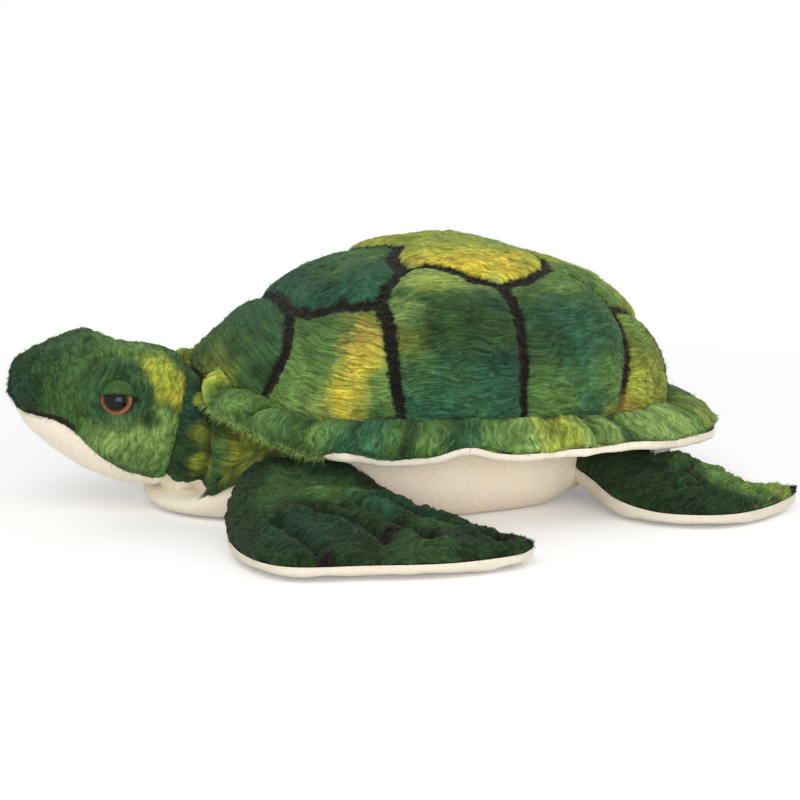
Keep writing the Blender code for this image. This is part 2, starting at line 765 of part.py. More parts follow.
def make_lid(name, side):
    # A shell close over the eye's dome, cut level above the middle of the eye
    edge = math.asin(EYE_RADIUS / EYE_SPHERE)
    centre_z = -EYE_SPHERE * math.cos(edge)
    builder = bmesh.new()
    bmesh.ops.create_uvsphere(
        builder, u_segments=24, v_segments=14, radius=EYE_SPHERE + SEAM_GAP + LID_THICKNESS)
    builder.transform(Matrix.Translation((0, 0, centre_z)))
    # The lid starts just in front of the rim, and ends at its lower edge
    raise_angle = math.radians(LID_RAISE)
    planes = [
        (Vector((0, 0, 0)), Vector((0, 0, -1))),
        (Vector((0, 0, centre_z)), Vector((math.cos(raise_angle), 0, math.sin(raise_angle)))),
    ]
    for point, normal in planes:
        everything = builder.verts[:] + builder.edges[:] + builder.faces[:]
        bmesh.ops.bisect_plane(
            builder, geom=everything, dist=1e-7, plane_co=point, plane_no=normal,
            clear_outer=True, clear_inner=False)
    mesh = bpy.data.meshes.new(name)
    builder.to_mesh(mesh)
    builder.free()
    lid = make_object(name, mesh, "lid_plastic")
    solid = lid.modifiers.new("thickness", "SOLIDIFY")
    solid.thickness = LID_THICKNESS
    solid.offset = -1
    lid.matrix_world = eye_frame(side)
    return lid


def make_eye(name, side, covers, fill):
    frame = eye_frame(side)
    eye = finish_turned(turned("eye_" + name, eye_profile(), 20, frame), "eye_plastic")
    lid = make_lid("eyelid_" + name, side)
    seat = -EYE_EDGE - SEAM_GAP
    washer_top = seat - WASHER_DEPTH
    washer = finish_turned(
        turned("eye_washer_" + name, washer_profile(washer_top), 20, frame, ring=True),
        "washer_plastic")
    # The post goes through a hole in the cover, and the filling makes room for the washer
    hole = turned("eye_hole_" + name, plug_profile(
        POST_RADIUS + SEAM_GAP, EYE_RADIUS, -POST_LENGTH - EYE_EDGE), 20, frame)
    room = turned("washer_room_" + name, plug_profile(
        WASHER_RADIUS + 2 * SEAM_GAP, EYE_RADIUS, -POST_LENGTH - SEAM_GAP), 20, frame)
    for tool in (hole, room):
        turtle.objects.unlink(tool)
        cutters.objects.link(tool)
        tool.hide_render = True
        tool.display_type = "WIRE"
    cut(covers, hole)
    cut(fill, room)
    return eye, lid, washer


# Label

def make_label():
    turn = math.radians(LABEL_ANGLE)
    step = brim_edge(turn + math.radians(2)) - brim_edge(turn - math.radians(2))
    along = Vector((step.x, step.y, 0.0)).normalized()
    across = Vector((along.y, -along.x, 0.0))
    top = brim_section(turn)[BRIM_RINGS].lerp(brim_section(turn)[BRIM_RINGS + 1], LABEL_REACH)
    top.z -= SEAM_GAP + 0.0005
    builder = bmesh.new()
    profile = [(-LABEL_FOLD, 0.0), (-LABEL_FOLD, LABEL_FOLD - LABEL_DROP)]
    for i in range(1, 6):
        bend = math.pi * i / 6
        profile.append((-LABEL_FOLD * math.cos(bend),
                        LABEL_FOLD - LABEL_DROP - LABEL_FOLD * math.sin(bend)))
    profile += [(LABEL_FOLD, LABEL_FOLD - LABEL_DROP), (LABEL_FOLD, 0.0)]
    rows = []
    for end in (-0.5, 0.5):
        rows.append([
            builder.verts.new(top + along * LABEL_WIDTH * end + across * d + Vector((0, 0, z)))
            for d, z in profile
        ])
    for j in range(len(profile) - 1):
        builder.faces.new((rows[0][j], rows[0][j + 1], rows[1][j + 1], rows[1][j]))
    mesh = bpy.data.meshes.new("label")
    builder.to_mesh(mesh)
    builder.free()
    label = make_object("label", mesh, "label_satin")
    solid = label.modifiers.new("thickness", "SOLIDIFY")
    solid.thickness = LABEL_THICKNESS
    solid.offset = 0
    return label


# Shell, brim and belly
cover("carapace_cover", dome_skin, "shell_plush", DOME_RINGS, SHELL_STEPS, wrap=True, pole=True)
cover("brim_upper", brim_upper_skin, "brim_plush", BRIM_RINGS, SHELL_STEPS, wrap=True)
cover("brim_lining", brim_lower_skin, "cream_plush", BRIM_RINGS, SHELL_STEPS, wrap=True)


def make_padding():
    # The brim's padding: a closed ring inside the brim's cover and lining
    builder = bmesh.new()
    rings = []
    for k in range(1, 2 * BRIM_RINGS):
        rings.append([
            builder.verts.new(brim_point(2 * math.pi * j / SHELL_STEPS, k, PLUSH + FILL_GAP))
            for j in range(SHELL_STEPS)
        ])
    for near, far in zip(rings, rings[1:] + rings[:1]):
        for j in range(SHELL_STEPS):
            k = (j + 1) % SHELL_STEPS
            builder.faces.new((near[j], near[k], far[k]))
            builder.faces.new((near[j], far[k], far[j]))
    return make_object("brim_padding", finish_mesh("brim_padding", builder), "stuffing")


make_padding()
belly = cover(
    "belly_cover", belly_skin, "cream_plush", BELLY_RINGS + 1, SHELL_STEPS, wrap=True, pole=True)
cover("shoulder_cover", shoulder_skin, "skin_plush", 3, SHOULDER_STEPS)
make_object(
    "body_filling", solid_mesh("body_filling", body_table(PLUSH + FILL_GAP)), "stuffing")
make_label()

floor_builder = bmesh.new()
bmesh.ops.create_cube(floor_builder, size=1.0)
floor_builder.transform(Matrix.Translation((0, 0, -0.5)))
cut(belly, make_cutter("floor_cut", finish_mesh("floor_cut", floor_builder)))

# Neck: cut by the larger body behind it
neck_pieces = [
    cover("neck_cover", neck_cover_skin, "skin_plush", NECK_RINGS, CROWN_STEPS),
    cover("throat_panel", throat_skin, "cream_plush", NECK_RINGS, JAW_STEPS),
    filling("neck_filling", neck_skin, NECK_RINGS, CROWN_STEPS + JAW_STEPS),
]
body_cut = make_cutter(
    "body_cut", solid_mesh("body_cut", body_table(-SEAM_GAP)))
neck_place = Vector((NECK_LIFT_AXIS[0], 0.0, NECK_LIFT_AXIS[1]))
for neck_piece in neck_pieces:
    cut(neck_piece, body_cut)
    neck_piece.data.transform(Matrix.Translation(-neck_place))
    neck_piece.location = neck_place

# Head: its pieces turn together about the neck's own line
head_cover = cover(
    "head_cover", head_cover_skin, "skin_plush", HEAD_RINGS, CROWN_STEPS, pole=True)
jaw_panel = cover(
    "jaw_panel", jaw_skin, "cream_plush", HEAD_RINGS - 1, JAW_STEPS, end=1 - 1 / HEAD_RINGS)
head_filling = filling(
    "head_filling", head_skin, HEAD_RINGS, CROWN_STEPS + JAW_STEPS, pole=True)
head_pieces = [head_cover, jaw_panel, head_filling]
for side_name, side_sign in (("left", -1), ("right", 1)):
    head_pieces += make_eye(side_name, side_sign, head_cover, head_filling)
head_joint = bpy.data.objects.new("head_joint", None)
turtle.objects.link(head_joint)
head_joint.location = HEAD_TWIST_POINT
for head_piece in head_pieces:
    head_piece.parent = head_joint
    head_piece.matrix_parent_inverse = Matrix.Translation(-Vector(HEAD_TWIST_POINT))

# Flippers
for side_name, side_sign in (("left", -1), ("right", 1)):
    make_flipper("front_flipper_" + side_name, FRONT_FLIPPER, FRONT_TIP, FRONT_HINGE_X, side_sign)
    make_flipper("rear_flipper_" + side_name, REAR_FLIPPER, REAR_TIP, REAR_HINGE_X, side_sign)
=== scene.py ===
import math

import bpy
import numpy as np
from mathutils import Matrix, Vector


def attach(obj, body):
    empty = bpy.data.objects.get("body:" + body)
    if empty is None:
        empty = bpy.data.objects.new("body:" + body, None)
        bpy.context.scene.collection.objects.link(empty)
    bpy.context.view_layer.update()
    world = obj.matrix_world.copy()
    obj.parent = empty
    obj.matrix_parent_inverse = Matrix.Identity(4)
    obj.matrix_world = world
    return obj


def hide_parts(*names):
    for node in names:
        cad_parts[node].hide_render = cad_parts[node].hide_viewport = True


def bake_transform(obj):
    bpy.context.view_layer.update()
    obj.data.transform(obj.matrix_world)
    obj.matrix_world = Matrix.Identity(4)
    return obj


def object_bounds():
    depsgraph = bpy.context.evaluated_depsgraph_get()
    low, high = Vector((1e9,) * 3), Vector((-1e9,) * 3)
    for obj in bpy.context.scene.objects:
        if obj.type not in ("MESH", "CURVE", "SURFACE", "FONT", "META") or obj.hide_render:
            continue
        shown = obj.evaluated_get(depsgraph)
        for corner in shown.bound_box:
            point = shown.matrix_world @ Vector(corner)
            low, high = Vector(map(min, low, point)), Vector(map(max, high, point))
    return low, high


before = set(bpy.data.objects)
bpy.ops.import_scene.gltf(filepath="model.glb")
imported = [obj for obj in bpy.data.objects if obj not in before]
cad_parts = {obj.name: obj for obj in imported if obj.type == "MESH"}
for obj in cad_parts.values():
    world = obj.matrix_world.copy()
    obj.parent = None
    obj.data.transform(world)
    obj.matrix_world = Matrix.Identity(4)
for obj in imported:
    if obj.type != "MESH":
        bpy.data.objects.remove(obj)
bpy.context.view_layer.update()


def mixed(a, b, share):
    return a + (b - a) * share


def smooth(value, low, high):
    share = np.clip((value - low) / (high - low), 0.0, 1.0)
    return share * share * (3.0 - 2.0 * share)


def signedPower(value, power):
    return np.sign(value) * np.abs(value) ** power


def unit(vectors):
    return vectors / np.maximum(np.linalg.norm(vectors, axis=-1, keepdims=True), 1e-12)


def stacked(x, y, z):
    x, y, z = np.broadcast_arrays(x, y, z)
    return np.stack([x, y, z], axis=-1).astype(float)


def hashed(i, j, k, seed):
    h = (i * 374761393 + j * 668265263 + k * 1442695041 + seed * 974711) & 0xFFFFFFFF
    h = ((h ^ (h >> 13)) * 1274126177) & 0xFFFFFFFF
    h = ((h ^ (h >> 16)) * 2246822519) & 0xFFFFFFFF
    return (h ^ (h >> 15)) / 2147483647.5 - 1.0


def cloud(points, size, seed, octaves=1):
    # Smooth value noise from -1 to 1, with lumps of about this size
    total = 0.0
    weight = 1.0
    whole = 0.0
    for octave in range(octaves):
        scaled = points / size * 2 ** octave
        cell = np.floor(scaled).astype(np.int64)
        part = scaled - cell
        part = part * part * part * (part * (part * 6 - 15) + 10)
        value = 0.0
        for dx in (0, 1):
            wx = part[..., 0] if dx else 1 - part[..., 0]
            for dy in (0, 1):
                wy = part[..., 1] if dy else 1 - part[..., 1]
                for dz in (0, 1):
                    wz = part[..., 2] if dz else 1 - part[..., 2]
                    value = value + wx * wy * wz * hashed(
                        cell[..., 0] + dx, cell[..., 1] + dy, cell[..., 2] + dz, seed + octave)
        total = total + value * weight
        whole += weight
        weight *= 0.5
    return total / whole


def through(values, u):
    # A smooth curve through evenly spaced rows, at u from 0 to 1
    values = np.asarray(values, float)
    last = len(values) - 1
    ends = np.concatenate([[2 * values[0] - values[1]], values, [2 * values[-1] - values[-2]]])
    place = np.clip(u, 0.0, 1.0) * last
    i = np.minimum(place.astype(int), last - 1)
    t = (place - i).reshape(place.shape + (1,) * (values.ndim - 1))
    p0, p1, p2, p3 = ends[i], ends[i + 1], ends[i + 2], ends[i + 3]
    return 0.5 * (2 * p1 + (p2 - p0) * t + (2 * p0 - 5 * p1 + 4 * p2 - p3) * t * t
                  + (3 * p1 - p0 - 3 * p2 + p3) * t ** 3)


def linear(red, green, blue):
    # A colour as it looks on screen, 0 to 255, in the renderer's terms
    shown = np.array([red, green, blue]) / 255.0
    return np.where(shown <= 0.04045, shown / 12.92, ((shown + 0.055) / 1.055) ** 2.4)


def gridNormals(points, wrap=False):
    down = np.gradient(points, axis=0)
    if wrap:
        across = (np.roll(points, -1, axis=1) - np.roll(points, 1, axis=1)) / 2
    else:
        across = np.gradient(points, axis=1)
    return unit(np.cross(down, across))


def raised(points, normals, lift):
    return points + normals * lift[..., None]


def lumpy(points, *lumps):
    # Heights of soft lumps: each kind has a size, a height, a seed and a count of octaves
    return sum(cloud(points, size, seed, octaves) * height
               for size, height, seed, octaves in lumps)


def far(points, place, weights=1.0):
    return np.linalg.norm((points - np.array(place)) * weights, axis=-1)


def bell(value, middle, width):
    return np.exp(-((value - middle) / width) ** 2)


def unitGrid(rows, columns):
    return np.broadcast_arrays(np.linspace(0.0, 1.0, rows)[:, None],
                               np.linspace(0.0, 1.0, columns))


dye = {
    "deepTeal": linear(28, 60, 46),
    "teal": linear(42, 84, 60),
    "deepGreen": linear(30, 54, 28),
    "green": linear(60, 90, 46),
    "leaf": linear(90, 122, 60),
    "lightLeaf": linear(122, 148, 80),
    "olive": linear(112, 118, 46),
    "lime": linear(150, 158, 56),
    "yellow": linear(188, 170, 56),
    "orange": linear(190, 154, 66),
    "gold": linear(140, 112, 52),
    "seam": linear(20, 13, 15),
    "cream": linear(238, 228, 208),
    "bellyCream": linear(242, 228, 208),
    "pupil": linear(9, 7, 9),
    "amber": linear(112, 58, 40),
    "paleAmber": linear(176, 112, 76),
    "eyeRim": linear(40, 22, 18),
    "eyeBack": linear(30, 18, 14),
    "lid": linear(50, 84, 34),
    "washer": linear(226, 226, 218),
    "paleWasher": linear(242, 242, 236),
    "ribbon": linear(236, 234, 230),
}


def plain(points, name, level=1.0):
    return np.tile(dye[name] * level, points.shape[:-1] + (1,))


def dyed(colour, name, share):
    return mixed(colour, dye[name], share[..., None])


def painted(colour, places, spots, wobble):
    # Blends soft spots of dye over a colour: each spot is a place, a radius, a dye and a strength
    for *place, radius, name, strength in spots:
        away = far(places, place) / radius + wobble
        colour = dyed(colour, name, strength * (1.0 - smooth(away, 0.45, 1.25)))
    return colour


def placeObject(name, data):
    made = bpy.data.objects.new(name, data)
    bpy.context.scene.collection.objects.link(made)
    return made


def makePiece(name, points, colour, pile, material, wrap=False, flipped=False, loose=False):
    # A grid of points as a mesh, with its dye and the lie of its pile kept on the points.
    # In a loose grid, each pair of columns is a strip of its own.
    rows, columns = points.shape[:2]
    index = np.arange(rows * columns).reshape(rows, columns)
    right = np.roll(index, -1, axis=1) if wrap else index[:, 1:]
    left = index if wrap else index[:, :-1]
    if loose:
        left, right = index[:, ::2], index[:, 1::2]
    faces = np.stack([left[:-1], left[1:], right[1:], right[:-1]], axis=-1).reshape(-1, 4)
    if flipped:
        faces = faces[:, ::-1]
    mesh = bpy.data.meshes.new(name)
    flat = points.reshape(-1, 3)
    mesh.vertices.add(len(flat))
    mesh.vertices.foreach_set("co", flat.astype(np.float32).ravel())
    mesh.loops.add(faces.size)
    mesh.loops.foreach_set("vertex_index", faces.astype(np.int32).ravel())
    mesh.polygons.add(len(faces))
    mesh.polygons.foreach_set("loop_start", np.arange(0, faces.size, 4, dtype=np.int32))
    mesh.update(calc_edges=True)
    rgba = np.ones((len(flat), 4), np.float32)
    rgba[:, :3] = np.broadcast_to(colour, points.shape).reshape(-1, 3)
    mesh.color_attributes.new("dye", "FLOAT_COLOR", "POINT").data.foreach_set("color", rgba.ravel())
    lie = pile.reshape(-1, 3).astype(np.float32).ravel()
    mesh.attributes.new("pile", "FLOAT_VECTOR", "POINT").data.foreach_set("vector", lie)
    mesh.materials.append(material)
    mesh.shade_smooth()
    return placeObject(name, mesh)


cloth = {
    "tuftSize": 0.0018, "lumpSize": 0.010, "mottleSize": 0.006,
    "rippleLift": 0.85, "tuftLift": 0.5, "lumpLift": 0.8,
    # How strongly light and shade are painted on the ripples and tufts, and the strength of the
    # random mottle of tone
    "paintedRippleShading": 0.38, "paintedTuftShading": 0.12, "mottleTone": 0.30,
    "creamNap": 0.0022, "creamHeight": 0.00018, "creamWeave": 0.0025, "creamSink": 0.0005,
}


def brushed(points, normals, colour, pile, height, seed):
    # Lifts the surface into the ripples and tufts of a brushed pile, with painted light on their
    # crests and painted shade in their hollows
    ripple = cloud(pile * np.array([0.7, 0.5, 1.0]), 1.0, seed, 2)
    tuft = cloud(points, cloth["tuftSize"], seed + 5)
    lump = cloud(points, cloth["lumpSize"], seed + 9, 2)
    mottle = cloud(points, cloth["mottleSize"], seed + 15, 2)
    lift = height * (cloth["rippleLift"] * ripple + cloth["tuftLift"] * tuft
                     + cloth["lumpLift"] * lump)
    # Painted light and shade that follow the ripples and tufts, times a random mottle of tone
    paintedShadingAndMottle = (1.0 + cloth["paintedRippleShading"] * ripple + cloth["paintedTuftShading"] * tuft
             + cloth["mottleTone"] * mottle)
    return raised(points, normals, lift), colour * paintedShadingAndMottle[..., None]


def makeCream(name, points, seed, flipped, sink=0.0, level=1.0):
    # A panel of short cream plush with its fine nap, kept off the ground
    normals = gridNormals(points) * (-1 if flipped else 1)
    nap = cloud(points, cloth["creamNap"], seed, 2) * cloth["creamHeight"]
    points = raised(points, normals, nap - sink)
    points[..., 2] = np.maximum(points[..., 2], -belly["flat"])
    return makePiece(name, points, dye["cream"] * level, points / cloth["creamWeave"], creamPlush,
                     flipped=flipped)


hair = {
    "joints": 5, "spread": 0.28, "bend": 0.35, "droop": 0.15, "shortest": 0.55,
    "halfWidth": 0.00016, "darkest": 0.9, "palest": 1.7,
}


def makeStrands(name, roots, ways, colour, length, seed):
    # Single hairs of the pile that stand off the cloth: thin curved strips from root to tip
    rng = np.random.default_rng(seed)
    count = len(roots)
    ways = unit(ways + rng.normal(0.0, hair["spread"], (count, 3)))
    across = unit(np.cross(ways, rng.normal(0.0, 1.0, (count, 3))))
    bend = unit(rng.normal(0.0, 1.0, (count, 3))) * hair["bend"] - [0.0, 0.0, hair["droop"]]
    reach = length * rng.uniform(hair["shortest"], 1.0, count)
    share = np.linspace(0.0, 1.0, hair["joints"])[:, None, None]
    spine = roots + (ways * share + bend * share ** 2) * reach[:, None]
    half = across * (hair["halfWidth"] * (1.05 - share))
    points = np.stack([spine - half, spine + half], axis=2).reshape(len(share), count * 2, 3)
    tone = colour * rng.uniform(hair["darkest"], hair["palest"], (count, 1))
    pile = stacked(rng.uniform(0.0, 50.0, count).repeat(2), 0.5, share[..., 0] * 2.0)
    return makePiece(name, points, tone.repeat(2, axis=0), pile, skinPlush, loose=True)


def addFuzz(name, points, normals, colour, count, length, seed):
    # Loose hairs spread over a piece, which soften its outline
    rng = np.random.default_rng(seed)
    row = rng.integers(0, points.shape[0], count)
    column = rng.integers(0, points.shape[1], count)
    ways = normals[row, column] * 0.55 + unit(rng.normal(0.0, 1.0, (count, 3))) * 0.8
    return makeStrands(name, points[row, column], ways, colour[row, column], length, seed)


def feed(node, inputs):
    # Sets a node's inputs: an output of another node is linked, anything else is a value
    for key, value in inputs.items():
        if isinstance(value, bpy.types.NodeSocket):
            node.id_data.links.new(value, node.inputs[key])
        else:
            node.inputs[key].default_value = value


def newNode(tree, kind, inputs={}, output=0, **settings):
    made = tree.nodes.new("ShaderNode" + kind)
    for key, value in settings.items():
        setattr(made, key, value)
    feed(made, inputs)
    return made.outputs[output]


def newMaterial(name):
    material = bpy.data.materials.new(name)
    material.use_nodes = True
    return material, material.node_tree, material.node_tree.nodes["Principled BSDF"]


def kept(tree, name, output="Color"):
    # What makePiece keeps on the points
    return newNode(tree, "Attribute", output=output, attribute_name=name)


def noisy(tree, scale, detail=3.0, roughness=0.5, place=None):
    place = place or newNode(tree, "TexCoord", output="Object")
    return newNode(tree, "TexNoise", {
        "Vector": place, "Scale": scale, "Detail": detail, "Roughness": roughness})


def levelled(tree, value, low, high, fromLow=0.0, fromHigh=1.0, **settings):
    return newNode(tree, "MapRange", {
        "Value": value, "From Min": fromLow, "From Max": fromHigh, "To Min": low,
        "To Max": high}, **settings)


def tinted(tree, level):
    return newNode(tree, "VectorMath", {0: kept(tree, "dye"), "Scale": level}, operation="SCALE")


def bumped(tree, height, strength, distance):
    return newNode(tree, "Bump", {
        "Height": height, "Strength": strength, "Distance": distance})


def plushMaterial(name, look):
    # Dyed plush: the dye on the points, streaked along the pile, with soft sheen and a fine nap
    material, tree, shader = newMaterial(name)
    strands = noisy(tree, 1.0, roughness=0.62, place=kept(tree, "pile", "Vector"))
    nap = noisy(tree, look["napScale"], detail=2.0, roughness=0.6)
    streak = levelled(tree, strands, 1.0 - look["streak"], 1.0 + look["streak"] * 1.25, 0.33, 0.67)
    grain = levelled(tree, nap, 1.0 - look["grain"], 1.0 + look["grain"], 0.3, 0.7)
    both = newNode(tree, "Math", {0: streak, 1: grain}, operation="MULTIPLY")
    # Painted highlight: the raised tips of the pile are given a paler, yellower tone than its
    # depths
    paintedTipLight = newNode(tree, "Mix", {
        "Factor": levelled(tree, strands, 0.0, look["paintedTipLight"], 0.55, 0.85),
        "A": tinted(tree, both), "B": (*look["paintedTipLightColour"], 1.0)},
        "Result", data_type="RGBA", blend_type="ADD")
    height = newNode(tree, "Math", {0: strands, 1: nap}, operation="ADD")
    feed(shader, {
        "Base Color": paintedTipLight, "Normal": bumped(tree, height, look["bump"], 0.0007),
        "Roughness": levelled(tree, nap, 0.78, 1.0), "Specular IOR Level": 0.15,
        "Sheen Weight": look["sheen"], "Sheen Roughness": 0.45,
        "Sheen Tint": (*look["sheenTint"], 1.0)})
    return material


greenLook = {
    "napScale": 1400.0, "streak": 0.48, "grain": 0.24, "paintedTipLight": 0.5,
    "paintedTipLightColour": (0.07, 0.085, 0.022), "bump": 0.9, "sheen": 0.10, "sheenTint": (0.75, 0.85, 0.6),
}
creamLook = {
    "napScale": 1100.0, "streak": 0.035, "grain": 0.04, "paintedTipLight": 0.0,
    "paintedTipLightColour": (0.0, 0.0, 0.0), "bump": 0.25, "sheen": 0.15, "sheenTint": (1.0, 0.97, 0.92),
}
shellPlush = plushMaterial("shellPlush", greenLook)
skinPlush = plushMaterial("skinPlush", dict(greenLook, streak=0.42))
creamPlush = plushMaterial("creamPlush", creamLook)


shell = {
    "middleX": 0.022, "front": 0.134, "rear": 0.1365, "halfWidth": 0.126, "top": 0.149,
    "baseFront": 0.074, "baseSide": 0.060, "baseRear": 0.051, "oval": 2.2, "collarDip": 0.006,
    "frontBulge": 0.0105, "farHalf": 0.86,
    "spreadSide": 0.68, "spreadFront": 1.35, "spreadRear": 0.95,
    "hem": 0.03, "hemDrop": 0.006, "hemIn": 0.004,
    "plateSwell": 0.0034, "swellReach": 0.011, "seamDepth": 0.0022, "seamReach": 1.15,
    "sags": ((0.05, 0.0028, 31, 2), (0.020, 0.0018, 37, 2)),
    "pile": 0.0009, "rippleLength": 0.0052, "rippleWidth": 0.0014, "gridSteps": 420,
    "straightPile": ("top", "frontTop", "rearTop"), "hairs": 5200, "hairLength": 0.0034,
}


def frontOff(angle):
    return np.abs(np.degrees(angle) % 360.0 - 180.0)


def ovalPoint(angle, front, rear, halfWidth):
    power = 2.0 / shell["oval"]
    length = np.where(np.cos(angle) > 0, rear, front)
    return length * signedPower(np.cos(angle), power), halfWidth * signedPower(np.sin(angle), power)


def neckShare(angle):
    return smooth(-frontOff(angle), -56.0, -26.0)


def shellBase(angle):
    x, y = ovalPoint(angle, shell["front"], shell["rear"], shell["halfWidth"])
    toFront = 1.0 - (1.0 - np.maximum(-np.cos(angle), 0.0) ** 4.0) ** 1.15
    toRear = np.maximum(np.cos(angle), 0.0) ** 1.5
    z = shell["baseSide"] + (shell["baseFront"] - shell["baseSide"]) * toFront
    z = z + (shell["baseRear"] - shell["baseSide"]) * toRear
    z = z - shell["collarDip"] * bell(frontOff(angle), 40.0, 17.0)
    return stacked(shell["middleX"] + x, y, z)


def shellPoint(share, angle):
    # share is 0 at the top of the shell and 1 at its base
    base = shellBase(angle)
    turn = (1.0 - share) * math.pi / 2
    toward = np.cos(angle)
    end = np.where(toward < 0, shell["spreadFront"], shell["spreadRear"])
    power = mixed(shell["spreadSide"], end, np.abs(toward) ** 2.5)
    spread = np.maximum(np.cos(turn), 0.0) ** power
    rise = np.sin(turn)
    bulge = shell["frontBulge"] * bell(frontOff(angle), 0.0, 30.0) * bell(share, 0.95, 0.11)
    return stacked(mixed(shell["middleX"], base[..., 0], spread) - bulge, base[..., 1] * spread,
                   mixed(base[..., 2], shell["top"], rise))


# The seams between the plates on one half of the shell, in the plane seen from above: the
# shell's base is a circle of radius 1, the head's side is -1. After its points, each seam has
# its width in millimetres at its start and at its end.
seams = {
    "frontTop": ([(-.573, -.217), (-.581, -.17), (-.586, -.10), (-.587, 0)], 8.0, 8.0),
    "frontSide": ([(-.573, -.217), (-.63, -.359), (-.711, -.428), (-.795, -.47),
                   (-.905, -.507), (-.98, -.559)], 7.5, 5.5),
    "firstTop": ([(-.573, -.217), (-.503, -.311), (-.413, -.350), (-.331, -.397),
                  (-.282, -.426)], 8.0, 9.0),
    "firstUp": ([(-.282, -.426), (-.239, -.363), (-.194, -.314), (-.16, -.28)], 9.0, 8.0),
    "secondTop": ([(-.16, -.28), (-.172, -.20), (-.176, -.12), (-.178, 0)], 8.5, 8.0),
    "firstSide": ([(-.282, -.426), (-.29, -.533), (-.31, -.614), (-.337, -.709),
                   (-.359, -.803), (-.389, -.908), (-.416, -1.026)], 9.5, 4.8),
    "topSide": ([(-.16, -.28), (-.087, -.26), (-.048, -.304), (-.015, -.369),
                 (.031, -.412)], 6.0, 7.0),
    "topRear": ([(.031, -.412), (.08, -.385), (.118, -.349), (.169, -.287)], 7.0, 6.0),
    "secondSide": ([(.031, -.412), (.046, -.506), (.053, -.589), (.054, -.691),
                    (.056, -.79), (.051, -.87), (.049, -1.038)], 8.5, 4.2),
    "thirdTop": ([(.169, -.287), (.208, -.158), (.220, -.08), (.225, 0)], 6.5, 6.5),
    "rearTop": ([(.169, -.287), (.205, -.277), (.26, -.302), (.319, -.324), (.362, -.359),
                 (.397, -.406)], 3.4, 5.5),
    "rearUp": ([(.397, -.406), (.466, -.35), (.55, -.295), (.62, -.26)], 6.5, 6.0),
    "thirdSide": ([(.397, -.406), (.429, -.468), (.457, -.556), (.475, -.648),
                   (.476, -.744), (.481, -.843), (.493, -1.027)], 6.8, 5.2),
    "tailTop": ([(.62, -.26), (.632, -.13), (.635, 0)], 6.0, 6.0),
    "tailSide": ([(.62, -.26), (.71, -.31), (.79, -.37), (.85, -.48), (.89, -.60)], 6.0, 5.0),
}


def seamLine(name, backwards=False):
    points = np.array(seams[name][0])
    fine = through(points, np.linspace(0, 1, 60))
    return fine[::-1] if backwards else fine


def rimArc(start, end):
    angles = np.linspace(math.atan2(start[1], start[0]), math.atan2(end[1], end[0]), 24)
    return 1.15 * np.stack([np.cos(angles), np.sin(angles)], axis=-1)


def plateOutline(names, *more):
    # Seams in order, with a minus where they run backwards, joined round the rim
    lines = [seamLine(name.strip("-"), name[0] == "-") for name in names.split()]
    parts = []
    for line, after in zip(lines, lines[1:] + lines[:1]):
        parts.append(line)
        if min(math.hypot(*line[-1]), math.hypot(*after[0])) > 1.0:
            parts.append(rimArc(line[-1], after[0]))
    return np.concatenate(parts + list(more))


plates = {
    "front": plateOutline("-frontTop frontSide", rimArc((-.98, -.559), (-1, -1e-6)),
                          [(-1.2, 0.02), (-.587, 0.02)]),
    "frontTop": plateOutline("-frontTop firstTop firstUp secondTop",
                             [(-.178, 0.02), (-.587, 0.02)]),
    "firstSide": plateOutline("firstTop firstSide -frontSide"),
    "secondSide": plateOutline("firstUp topSide secondSide -firstSide"),
    "top": plateOutline("-secondTop topSide topRear thirdTop", [(.225, 0.02), (-.178, 0.02)]),
    "thirdSide": plateOutline("topRear rearTop thirdSide -secondSide"),
    "rearTop": plateOutline("-thirdTop rearTop rearUp tailTop", [(.635, 0.02), (.225, 0.02)]),
    "rearSide": plateOutline("rearUp tailSide -thirdSide"),
    "tail": plateOutline("-tailTop tailSide", rimArc((.89, -.60), (1, -1e-6)),
                         [(1.2, 0.02), (.635, 0.02)]),
}

